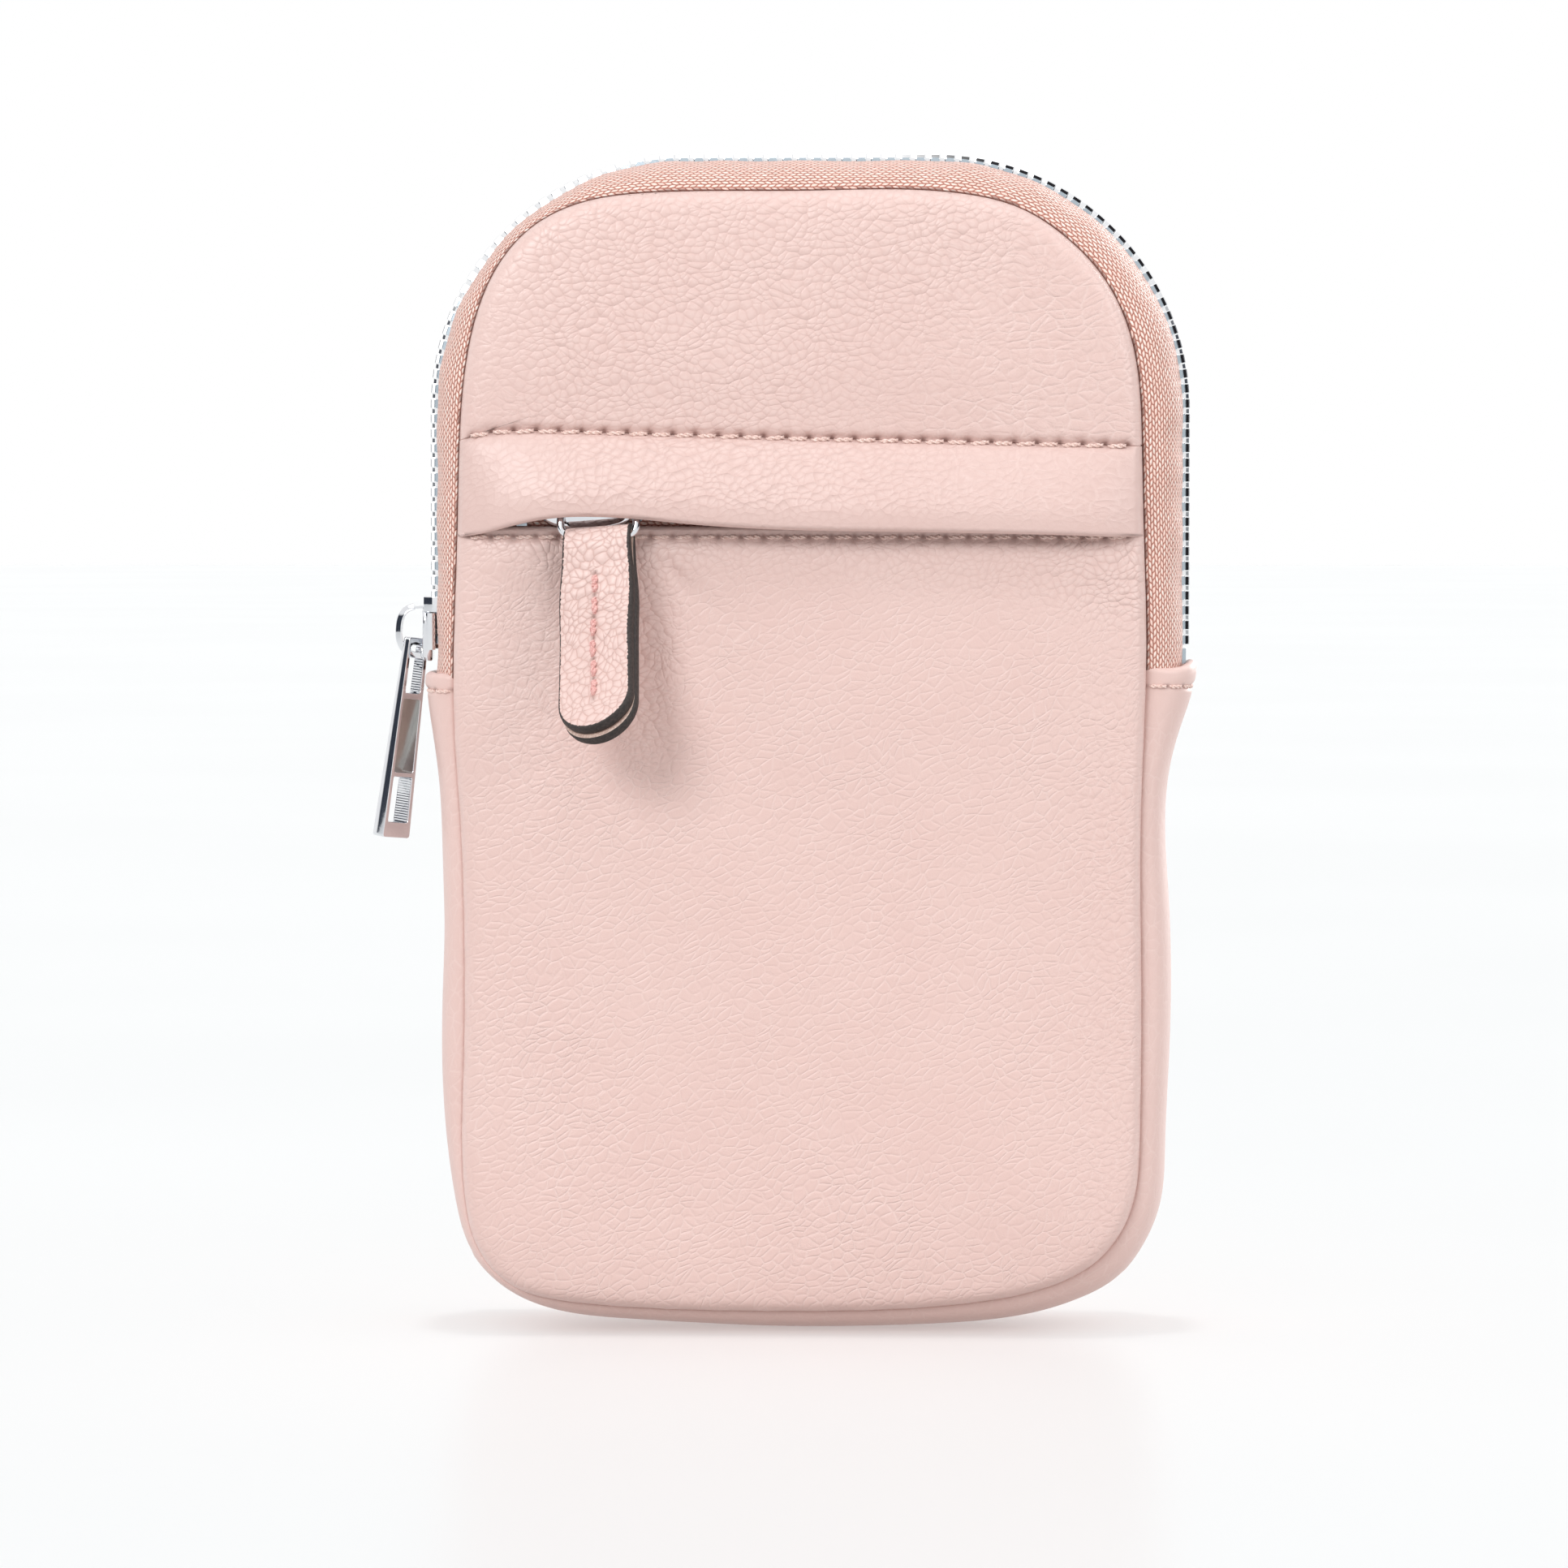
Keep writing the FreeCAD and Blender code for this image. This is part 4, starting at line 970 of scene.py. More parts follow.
# =====================================================================  pocket flap
FLAP_EDGE = np.array([(-53, 121.2), (-50.5, 121.6), (-46, 122.7), (-41, 123.9), (-36, 124.55), (-31, 124.6), (-26, 124.35), (-18, 123.6),
                      (-10, 123.0), (0, 122.6), (12, 122.4), (25, 122.2), (38, 121.9), (46, 121.6), (53, 121.3)], float)
edge_line = open_spline(FLAP_EDGE, 400)


def flap_edge(x):
    return np.interp(x, edge_line[:, 0], edge_line[:, 1])


FLAP_TOP = 135.95
FLAP_OUT = ([-53, -47, -41, -34, -22, 0, 28, 40, 47, 52], [1.9, 2.7, 4.2, 5.2, 5.25, 5.0, 4.9, 4.4, 3.2, 2.0])
nu = 150
uu = spaced(104, 0.22, 0.5, 6)
vv = np.concatenate([[0, 0.02, 0.05, 0.09, 0.15, 0.22], np.linspace(0.3, 0.9, 12), [0.95, 0.985]])


def seam_x(z, right):
    i = SEAM[cut_seam(z, right)]
    return i[0]


zz_grid = np.linspace(118, 140, 90)
xl = np.array([seam_x(z, False) for z in zz_grid])
xr = np.array([seam_x(z, True) for z in zz_grid])
rowsV, rowsC, rowsA = [], [], []


def flap_point(u, v, back):
    """u across, v down; back is 0 on the outer leaf and its thickness behind it."""
    ztop = float(yoke_z(np.interp(136, zz_grid, xl) * (1 - u) + np.interp(136, zz_grid, xr) * u)) - 0.15
    xm = np.interp(128, zz_grid, xl) * (1 - u) + np.interp(128, zz_grid, xr) * u
    ze = flap_edge(xm)
    z = ztop + (ze - ztop) * v
    x = np.interp(z, zz_grid, xl) * (1 - u) + np.interp(z, zz_grid, xr) * u
    d = seam_distance(np.array([x]), np.array([z]))[0]
    if u in (0.0, 1.0):
        d = 0.0
    k = 0.38 * float(smooth(0.0, 0.9, d)) + 0.62 * float(smooth(0.2, 6.5, d))
    bulge = float(np.interp(x, FLAP_OUT[0], FLAP_OUT[1])) * (1 - (1 - v) ** 1.8) * (1 - 0.10 * max(0.0, v - 0.75) / 0.25)
    y = -SEAM_Y - float(lift(d)) + 0.55 * math.exp(-((v / 0.05) ** 2)) * float(smooth(0.6, 2.5, d)) - bulge * k - 0.10 * math.sin(x * 0.21) * k * v
    y += 0.30 * math.exp(-(float(from_hole(x)) / 0.85) ** 2) * math.exp(-((v / 0.09) ** 2)) * k
    return x, y + back, z


for u in uu:
    col, cc, aa = [], [], []
    x0_, y0_, z0_ = flap_point(u, 0.0, 0)
    col.append((x0_, y0_ + 0.9, z0_ + 0.1))
    for v in vv:
        col.append(flap_point(u, v, 0))
    x1, y1, z1 = flap_point(u, 1.0, 0)
    k = float(smooth(0.5, 6.0, min(u, 1 - u) * 104))
    t = 1.0 * (0.6 + 0.4 * k)
    for a in np.radians([20, 50, 80, 110, 140, 170]):
        col.append((x1, y1 + t / 2 - t / 2 * math.cos(a), z1 - 0.0 - t / 2 * math.sin(a) + 0.35))
    for v in (0.93, 0.8, 0.6, 0.4, 0.2, 0.08):
        x2, y2, z2 = flap_point(u, v, 0)
        col.append((x2, y2 + t, z2))
    rowsV.append(col)
V = np.array(rowsV)
arc = np.concatenate([np.zeros((V.shape[0], 1)), np.cumsum(np.linalg.norm(np.diff(V, axis=1), axis=2), 1)], 1)
flap = add_mesh("pocket_flap_leather", V.reshape(-1, 3), grid_faces(*V.shape[:2]))
vec_attr(flap, "grain_co", np.stack([V[..., 0], -arc + 300, arc * 0], -1))
xx = V[..., 0]
num_attr(flap, "grain_amp", (0.35 + 0.65 * smooth(-46, -30, xx) * smooth(52, 44, xx)) * (0.35 + 0.65 * smooth(0.0, 3.0, arc)) * (0.3 + 0.7 * smooth(15.0, 11.5, arc)))
num_attr(flap, "grain_mix", np.clip(0.35 + 0.5 * smooth(40, -10, xx), 0, 1))
# painted shade in the stitch holes along the flap's top
num_attr(flap, "hole_shade", 0.55 * np.exp(-(from_hole(xx) / 0.5) ** 2 - ((arc - 0.95) / 0.35) ** 2))
flap.data.materials.append(M_FLAP_SHADED)

# =====================================================================  thread
def stitch(p, d, n, L, r=0.20, a=0.16, h=0.12, sink=0.55, turns=1.35, phase=0.6, m=17, k=7):
    """One two-ply stitch lying along d on a surface with outward normal n; its ends go down into the leather."""
    p, d, n = (np.asarray(v, float) for v in (p, d, n))
    d = d / np.linalg.norm(d)
    n = n - d * (n @ d)
    n /= np.linalg.norm(n)
    b = np.cross(n, d)
    V, F = [], []
    for ply in (0, 1):
        base = len(V)
        for i in range(m):
            t = i / (m - 1)
            e = 2 * t - 1
            rise = h * (1 - e ** 4) - sink * abs(e) ** 7
            ph = 2 * math.pi * turns * t + math.pi * ply + phase
            c = p + d * (e * L / 2) + n * (rise + 0.75 * a * math.sin(ph)) + b * (a * math.cos(ph))
            rr = r * (1 - 0.35 * abs(e) ** 6)
            for j in range(k):
                q = 2 * math.pi * j / k
                V.append(c + n * (rr * math.sin(q)) + b * (rr * math.cos(q)))
        F += grid_faces(m, k, close_m=True, base=base)
        F.append([base + j for j in range(k)])
        F.append([base + (m - 1) * k + j for j in range(k - 1, -1, -1)])
    return V, F


def thread_row(name, items, **kw):
    V, F = [], []
    for it in items:
        v, f = stitch(*it, **kw)
        F += [[q + len(V) for q in x] for x in f]
        V += v
    ob = add_mesh(name, V, F)
    ob.data.materials.append(M_THREAD)
    return ob


def front_y(x, z, extra=0.0):
    return -SEAM_Y - float(lift(seam_distance(np.array([x]), np.array([z]))[0])) + extra


items = []
xs_st = np.arange(ST_X0, 49.6, ST_PITCH)
for x in xs_st:
    z = float(yoke_z(x)) - 0.2
    items.append(((x, front_y(x, z, 0.34), z), (1, 0, 0.05 + 0.05 * math.sin(x)), (0, -1, 0), 2.85))
yoke_thread = thread_row("yoke_topstitch_thread", items)
items = []
for x in xs_st:
    z = EDGE_Z - 1.0
    items.append(((x, front_y(x, z, 0.04), z), (1, 0, 0.06 + 0.04 * math.sin(2 * x)), (0, -1, 0), 2.85))
pocket_thread = thread_row("pocket_topstitch_thread", items)


def gusset_at(i, q):
    """Point and outward normal on the gusset's outside at row i, q from -1 (front) to 1 (back)."""
    row = Vg[i]
    p = np.array([np.interp(q, qs, row[:, c]) for c in range(3)])
    p1 = np.array([np.interp(q + 0.03, qs, row[:, c]) for c in range(3)])
    p0 = np.array([np.interp(q - 0.03, qs, row[:, c]) for c in range(3)])
    across = (p1 - p0) / np.linalg.norm(p1 - p0)
    j = min(max(i, 1), len(Vg) - 2)
    up = np.array([np.interp(q, qs, Vg[j + 1][:, c]) - np.interp(q, qs, Vg[j - 1][:, c]) for c in range(3)])
    nrm = np.cross(across, up)
    nrm /= np.linalg.norm(nrm)
    if nrm[0] * p[0] < 0:
        nrm = -nrm
    return p, across, nrm


items = []
for end in (0, 1):
    i = int(np.argmin(np.abs(side_len[:150] - HEM_ST[0]))) if end == 0 else len(s_low) - 1 - int(np.argmin(np.abs(side_len[::-1][:150] - HEM_ST[1])))
    arc_q = np.concatenate([[0], np.cumsum(np.linalg.norm(np.diff(np.array([gusset_at(i, q)[0] for q in np.linspace(-1, 1, 201)]), axis=0), axis=1))])
    for s in np.arange(1.9, arc_q[-1] - 1.2, HEM_P):
        q = float(np.interp(s, arc_q, np.linspace(-1, 1, 201)))
        p, ac, nn = gusset_at(i, q)
        items.append((p + nn * 0.04, ac, nn, 2.95))
hem_thread = thread_row("hem_stitch_thread", items, r=0.17, a=0.14, turns=1.5)

# =====================================================================  pull tab: one strip folded round the ring, two layers, painted edges
M_EDGE, _nt, _b = new_mat("painted_edge")
_k = Net(_nt)
_n = _k.noise(_k.obj(), 2600.0, 3.0)
_nt.links.new(_k.mix(_k.range(_n, 0.3, 0.75), (0.012, 0.009, 0.008, 1), (0.040, 0.029, 0.026, 1)), _b.inputs["Base Color"])
_nt.links.new(_k.bump(_n, 0.10 * MM, 0.9), _b.inputs["Normal"])
_b.inputs["Roughness"].default_value = 0.62

M_CORE, _nt, _b = new_mat("leather_core")
_k = Net(_nt)
_n = _k.noise(_k.obj(), 3000.0, 3.0)
_nt.links.new(_k.mix(_k.range(_n, 0.3, 0.75), (0.52, 0.36, 0.30, 1), (0.72, 0.56, 0.49, 1)), _b.inputs["Base Color"])
_nt.links.new(_k.bump(_n, 0.08 * MM, 0.9), _b.inputs["Normal"])
_b.inputs["Roughness"].default_value = 0.85

TAB_C = np.array([-30.85, -19.515, 121.81])
TAB_FRONT, TAB_BACK, TAB_W = 32.9, 33.5, 6.0
TAB_T = 1.75


def tab_frame(s):
    """Middle line of the tab: point, width, down and outward directions at distance s below the ring."""
    steps = 60
    p = TAB_C.copy()
    ds = s / steps
    for i in range(steps):
        q = (i + 0.5) * ds
        p = p + tab_dirs(q)[1] * ds
    w, v, n = tab_dirs(s)
    return p, w, v, n


def tab_dirs(s):
    yaw = math.radians(13 + 16.0 * float(smooth(0.0, 18, s)))
    lean = math.radians(15.5 + 24.5 * float(smooth(8, 33, s)))
    v = np.array([0.016, -math.sin(lean), -math.cos(lean)])
    v /= np.linalg.norm(v)
    w = np.array([math.cos(yaw), -math.sin(yaw), 0])
    w = w - v * (w @ v)
    w /= np.linalg.norm(w)
    n = np.cross(v, w)
    return w, v, (n if n[1] < 0 else -n)


def tab_half(s, L):
    r = TAB_W
    if s > L - r:
        return r * math.sqrt(max(0.0, 1 - ((s - (L - r)) / r) ** 2.15))
    return 5.15 + (TAB_W - 5.15) * float(smooth(0.5, 12.0, s))


def layer_path():
    """The fold in the plane of s (down) and n (out): outer and inner lines from the front end, over the ring, to the back end."""
    out = []
    fr = np.concatenate([TAB_FRONT - TAB_W * (1 - np.sin(np.linspace(math.pi / 2, 0, 14))), np.linspace(TAB_FRONT - TAB_W, 2.2, 90)[1:]])
    for s in fr:
        open_ = 0.55 * float(smooth(6.0, 0.8, s))
        mid = -0.03 + open_ + 0.20 * float(smooth(28.0, 32.0, s))
        out.append((s, mid + TAB_T, s, mid, TAB_FRONT))
    for a in np.radians(np.linspace(12, 168, 12)):
        out.append((-1.85 * math.sin(a) + 0.6, 1.88 * math.cos(a), -1.0 * math.sin(a) + 0.6, 0.85 * math.cos(a), TAB_FRONT))
    bk = np.concatenate([np.linspace(2.2, TAB_BACK - TAB_W, 60)[:-1], TAB_BACK - TAB_W * (1 - np.sin(np.linspace(0, math.pi / 2, 14)))])
    for s in bk:
        open_ = 0.55 * float(smooth(6.0, 0.8, s))
        mid = 0.03 - open_ - 0.12 * float(smooth(28.0, 32.0, s))
        out.append((s, mid - TAB_T, s, mid, TAB_BACK))
    return out


path = layer_path()
fr_cols = np.array([-1, -0.985, -0.955, -0.92, -0.86, -0.7, -0.45, -0.22, -0.14, -0.09, -0.05, 0, 0.05, 0.09, 0.14, 0.22, 0.45, 0.7, 0.86, 0.92, 0.955, 0.985, 1.0])
TAB_ST0, TAB_STP = 8.05, 3.5     # first stitch below the ring, and the pitch
tr = np.random.default_rng(11)
OUT, INN, CO, PAINT, HOLE_SHADE = [], [], [], [], []
run = 0.0
prev = None
for so, no, si, ni, L in path:
    h = max(tab_half(max(so, 0), L), 0.02)
    p, w, v, n = tab_frame(max(so, 0.0))
    p = p + tab_dirs(0)[1] * min(so, 0.0)
    pi_, wi, vi, nn = tab_frame(max(si, 0.0))
    pi_ = pi_ + tab_dirs(0)[1] * min(si, 0.0)
    sign = 1.0 if no >= 0 else -1.0
    cen = p + n * no
    run += 0 if prev is None else float(np.linalg.norm(cen - prev))
    prev = cen
    ro, ri, rc, rp, rh = [], [], [], [], []
    for f in fr_cols:
        jit = tr.normal(0, 0.05) if 0.94 < abs(f) < 0.96 else 0.0
        drop = 0.22 * max(0.0, (abs(f) - 0.93) / 0.07) ** 2
        x = f * h + np.sign(f) * jit * min(1.0, h / 2)
        ro.append(p + w * x + n * (no - sign * drop if abs(no) > 1e-6 else no))
        ri.append(pi_ + wi * (f * h) + nn * ni)
        rc.append((x + 60, run, 0))
        deep = TAB_W - math.hypot(x, so - (L - TAB_W)) if so > L - TAB_W else (1 - abs(f)) * h
        rp.append(min(1.0, max(0.0, 1.0 - deep / 0.55)))
        # painted shade in the tab's stitch holes
        at_ = ((so - TAB_ST0) / TAB_STP % 1.0 - 0.5) * TAB_STP
        in_row = TAB_ST0 - 0.6 * TAB_STP < so < TAB_ST0 + 5.6 * TAB_STP and no > 0
        rh.append(math.exp(-(x / 0.36) ** 2 - (at_ / 0.45) ** 2) if in_row else 0.0)
    PAINT.append(rp)
    HOLE_SHADE.append(rh)
    OUT.append(ro)
    INN.append(ri)
    CO.append(rc)
OUT, INN, CO = np.array(OUT), np.array(INN), np.array(CO)
J, K = OUT.shape[:2]
mid_edge_l = (OUT[:, 0] + INN[:, 0]) / 2
mid_edge_r = (OUT[:, -1] + INN[:, -1]) / 2
wdir = np.array([tab_dirs(max(a[0], 0))[0] for a in path])
mid_edge_l -= wdir * 0.14
mid_edge_r += wdir * 0.14
verts = np.concatenate([OUT.reshape(-1, 3), INN.reshape(-1, 3), mid_edge_l, mid_edge_r])
F, MI = [], []
for j in range(J - 1):
    for c in range(K - 1):
        F.append([j * K + c, j * K + c + 1, (j + 1) * K + c + 1, (j + 1) * K + c])
        MI.append(0)
nb = J * K
for j in range(J - 1):
    for c in range(K - 1):
        F.append([nb + j * K + c, nb + (j + 1) * K + c, nb + (j + 1) * K + c + 1, nb + j * K + c + 1])
        MI.append(2)
eb, ec = 2 * nb, 2 * nb + J
for j in range(J - 1):
    F.append([j * K, (j + 1) * K, eb + j + 1, eb + j]); MI.append(1)
    F.append([eb + j, eb + j + 1, nb + (j + 1) * K, nb + j * K]); MI.append(1)
    F.append([j * K + K - 1, ec + j, ec + j + 1, (j + 1) * K + K - 1]); MI.append(1)
    F.append([ec + j, nb + j * K + K - 1, nb + (j + 1) * K + K - 1, ec + j + 1]); MI.append(1)
for j in (0, J - 1):
    ring = [j * K + c for c in range(K)] + [ec + j] + [nb + j * K + c for c in range(K - 1, -1, -1)] + [eb + j]
    F.append(ring if j else ring[::-1]); MI.append(1)
tab = add_mesh("pull_tab_folded_leather", verts, F)
co_tab = np.concatenate([CO.reshape(-1, 3), CO.reshape(-1, 3), CO[:, 0], CO[:, -1]])
vec_attr(tab, "grain_co", co_tab)
num_attr(tab, "grain_amp", np.ones(len(verts)))
num_attr(tab, "grain_mix", np.ones(len(verts)))
num_attr(tab, "paint", np.concatenate([np.array(PAINT).ravel(), np.ones(len(verts) - len(OUT) * len(fr_cols))]))
num_attr(tab, "hole_shade", np.concatenate([np.array(HOLE_SHADE).ravel(), np.zeros(len(verts) - len(OUT) * len(fr_cols))]))
for m_ in (M_TAB, M_EDGE, M_CORE):
    tab.data.materials.append(m_)
if len(tab.data.polygons) == len(MI):
    tab.data.polygons.foreach_set("material_index", MI)
items = []
for kk in range(6):
    s = TAB_ST0 + kk * TAB_STP
    p, w, v, n = tab_frame(s)
    off = -0.03 + 0.55 * float(smooth(6.0, 0.8, s)) + TAB_T
    items.append((p + n * (off + 0.03) + w * 0.10 * math.sin(kk * 1.7), v + w * 0.06 * math.sin(kk * 2.3), n, 2.95))
M_THREAD, _keep = thread_mat("tab_thread", (0.88, 0.55, 0.51, 1), (0.56, 0.23, 0.21, 1)), M_THREAD
tab_thread = thread_row("pull_tab_thread", items, r=0.33, a=0.20)
M_THREAD = _keep


# =====================================================================  metal: plates cut from outlines
def rrect(u0, v0, u1, v1, r, n=6):
    out = []
    for cx, cy, a0 in ((u1 - r, v0 + r, -90), (u1 - r, v1 - r, 0), (u0 + r, v1 - r, 90), (u0 + r, v0 + r, 180)):
        for i in range(n + 1):
            a = math.radians(a0 + 90.0 * i / n)
            out.append((cx + r * math.cos(a), cy + r * math.sin(a)))
    return out


def curve_plate(loops, half, bevel, res=2, split=False):
    """Vertices and faces of a plate with rounded edges, cut from flat outlines; half is half its thickness. split adds a line round its middle."""
    cu = bpy.data.curves.new("plate", "CURVE")
    cu.dimensions = "2D"
    cu.fill_mode = "BOTH"
    for loop in loops:
        sp = cu.splines.new("POLY")
        sp.points.add(len(loop) - 1)
        for pt, (a, b2) in zip(sp.points, loop):
            pt.co = (a, b2, 0, 1)
        sp.use_cyclic_u = True
    cu.extrude = half - bevel
    cu.bevel_depth = bevel
    cu.bevel_resolution = res
    cu.offset = -bevel
    o = link(bpy.data.objects.new("plate", cu))
    dg = bpy.context.evaluated_depsgraph_get()
    me = bpy.data.meshes.new_from_object(o.evaluated_get(dg))
    bmx = bmesh.new()
    bmx.from_mesh(me)
    bmesh.ops.remove_doubles(bmx, verts=bmx.verts, dist=1e-4)
    if split:
        bmesh.ops.bisect_plane(bmx, geom=bmx.verts[:] + bmx.edges[:] + bmx.faces[:], plane_co=(0, 0, 0), plane_no=(0, 0, 1))
    bmx.verts.index_update()
    V = np.array([v.co[:] for v in bmx.verts])
    F = [[v.index for v in f.verts] for f in bmx.faces]
    bmx.free()
    bpy.data.objects.remove(o)
    bpy.data.meshes.remove(me)
    bpy.data.curves.remove(cu)
    return V, F


def join(parts):
    V, F = [], []
    n = 0
    for v, f in parts:
        V.append(np.asarray(v, float))
        F += [[q + n for q in x] for x in f]
        n += len(v)
    return np.concatenate(V), F


def metal_piece(name, parts, mat=None, angle=32):
    V, F = join(parts)
    ob = add_mesh(name, V, F)
    ob.data.materials.append(mat or M_METAL)
    ob.data.set_sharp_from_angle(angle=math.radians(angle))
    return ob


def sweep(path, us_, section):
    """A closed section (a, b) carried along a path; a goes along the normal in the path's plane, b along us_."""
    path = np.asarray(path, float)
    t = np.gradient(path, axis=0)
    t /= np.linalg.norm(t, axis=1)[:, None]
    u = np.asarray(us_, float)
    V = []
    for p, d in zip(path, t):
        nrm = np.cross(u, d)
        for a, b2 in section:
            V.append(p + nrm * a + u * b2)
    k = len(section)
    F = grid_faces(len(path), k, close_m=True)
    F.append(list(range(k - 1, -1, -1)))
    F.append([(len(path) - 1) * k + i for i in range(k)])
    return np.array(V), F


# ---- main pull
PV = np.array([-60.35, 0.0, 104.5])
pd = np.array([-math.sin(math.radians(7.6)), 0.0, -math.cos(math.radians(7.6))])
pu = np.array([math.cos(math.radians(51)), math.sin(math.radians(51)), 0])
pu = pu - pd * (pu @ pd)
pu /= np.linalg.norm(pu)
pw = np.cross(pd, pu)
if pw[1] > 0:
    pw = -pw
PL = 31.0


def pull_half(v):
    return 2.15 + (3.0 - 2.15) * np.clip(v / PL, 0, 1)


def pull_thick(v):
    return 0.80 + (1.42 - 0.80) * np.clip(v / PL, 0, 1)


def pull_map(V):
    """Flat plate (u, v, w) to its place: tapered in width and thickness, its back half drawn in, hanging from the pivot."""
    u = V[:, 0] * pull_half(V[:, 1]) / 3.0 * (1 - 0.20 * np.clip(-V[:, 2], 0, 1))
    w = V[:, 2] * pull_thick(V[:, 1])
    v = V[:, 1] - 1.3
    return PV + u[:, None] * pu + v[:, None] * pd + w[:, None] * pw


def ridges(v0, v1, u, n):
    """Fine ribs across the thickness along the wall of a window."""
    V, F = [], []
    for v in np.linspace(v0, v1, n):
        b0 = len(V)
        for w in (-0.86, 0.86):
            for i in range(6):
                a = math.pi * i / 3
                V.append((u + 0.17 * math.cos(a), v + 0.15 * math.sin(a), w))
        F += [[b0 + i, b0 + (i + 1) % 6, b0 + 6 + (i + 1) % 6, b0 + 6 + i] for i in range(6)]
        F += [[b0 + i for i in range(5, -1, -1)], [b0 + 6 + i for i in range(6)]]
    return np.array(V), F


body = curve_plate([rrect(-3, 0, 3, PL, 0.5, 4), rrect(-2.1, 1.15, 2.1, 8.6, 0.5, 4), rrect(-2.3, 9.5, 2.3, 20.9, 0.35, 4),
                    rrect(-2.25, 21.6, 2.25, 28.6, 0.3, 4)], 1.0, 0.13, 2, True)
plate_v, plate_f = curve_plate([rrect(-2.5, 9.1, 2.5, 21.2, 0.2, 3)], 0.10, 0.03, 1)
ins = plate_v.copy()
ins[:, 2] += 0.70 - 1.42 * np.clip((ins[:, 1] - 9.1) / 12.0, 0, 1)
rib_a, rib_b = ridges(1.9, 8.2, 2.1, 17), ridges(22.0, 28.3, 2.25, 17)
main_pull = metal_piece("main_pull_nickel", [(pull_map(body[0]), body[1]), (pull_map(rib_a[0]), rib_a[1]), (pull_map(rib_b[0]), rib_b[1]), (pull_map(ins), plate_f)])
main_pull.data.materials.append(M_RECESS)
n_all = len(main_pull.data.polygons)
main_pull.data.polygons.foreach_set("material_index", [0] * (n_all - len(plate_f)) + [1] * len(plate_f))

# ---- main slider and its bail
SX = ZL     # outer face of the tape


def to_side(V, x0):
    """Plate made in (y, z) with its thickness along x, centred on x0."""
    return np.stack([V[:, 2] + x0, V[:, 0], V[:, 1]], 1)


def shield(k=1.0, grow=0.0):
    pts = [(0, 102.2), (1.6, 102.3), (2.5, 103.0), (2.9, 104.2), (3.3, 105.8), (3.8, 107.2), (3.9, 108.3), (3.6, 109.2), (2.8, 109.9), (1.4, 110.3), (0, 110.4)]
    pts = pts + [(-a, b2) for a, b2 in pts[-2:0:-1]]
    return [tuple(q) for q in closed_spline([((a + grow * np.sign(a)) * k, b2) for a, b2 in pts], 72)]


outer_plate = curve_plate([shield()], 0.62, 0.34, 3)
ov = to_side(outer_plate[0], SX - 1.55)
rr = 1 - (np.abs(ov[:, 1]) / 4.1) ** 2
ov[:, 0] -= np.where(ov[:, 0] < SX - 1.6, 0.35 * np.clip(rr, 0, 1), 0)
inner_plate = curve_plate([shield(0.97)], 0.5, 0.25, 2)
iv = to_side(inner_plate[0], SX + 2.15)
fl = []
for sgn in (-1, 1):
    f_path = [(SX - 1.3, sgn * (3.1 - 0.0), 104.0), (SX - 1.3, sgn * 3.45, 106.2), (SX - 1.3, sgn * 3.75, 107.8), (SX - 1.3, sgn * 3.7, 109.6)]
    sec = [(0.32 * math.cos(a), 0.75 * math.sin(a) + 0.25) for a in np.linspace(0, 2 * math.pi, 10, endpoint=False)]
    fl.append(sweep(f_path, (1, 0, 0), sec))
post = curve_plate([rrect(-0.55, 109.3, 0.55, 111.6, 0.35, 4)], 2.2, 0.12, 1)
pvv = to_side(post[0], SX + 0.2)
nose = curve_plate([[(SX - 2.15, 3.3), (SX - 2.15, -2.9), (SX - 0.75, -4.1), (SX + 0.3, -4.1), (SX + 0.3, 4.1), (SX - 0.75, 4.1)]], 1.2, 0.16, 2)
nv = nose[0] + np.array([0, 0, 110.95])
lug_lo = curve_plate([rrect(-1.25, 102.6, 1.25, 104.3, 0.5, 4)], 0.7, 0.22, 2)
lv = to_side(lug_lo[0], SX - 2.1)
main_slider = metal_piece("main_slider_nickel", [(ov, outer_plate[1]), (iv, inner_plate[1])] + fl + [(pvv, post[1]), (nv, nose[1]), (lv, lug_lo[1])])

b_path = open_spline([(-60.35, 110.55), (-61.5, 110.1), (-62.35, 109.0), (-62.7, 107.3), (-62.65, 105.7), (-62.1, 104.3), (-60.9, 103.3), (-59.6, 103.0), (-58.2, 103.0)], 60)
arc3 = np.stack([b_path[:, 0], np.zeros(len(b_path)), b_path[:, 1]], 1)
sec = [(0.50, 1.0), (0.56, 0.7), (0.56, -0.35), (0.50, -0.58), (0.42, -0.68), (-0.20, -1.12), (-0.32, -1.16), (-0.44, -1.12), (-0.50, -0.98), (-0.50, 0.9), (-0.42, 1.1), (0.35, 1.1)]
pin_sec = [(0.22 * math.cos(a), 0.5 * math.sin(a)) for a in np.linspace(0, 2 * math.pi, 10, endpoint=False)]
bail = metal_piece("main_slider_bail_nickel", [sweep(arc3, (0, 1, 0), sec), sweep([(-60.5, 0, 110.4), (-59.4, 0, 110.45), (-57.9, 0, 110.5)], (0, 1, 0), pin_sec)], angle=26)

# ---- pocket slider: a domed shield with an eye for the ring, and its inner plate
PX, PZ = -32.1, 125.5


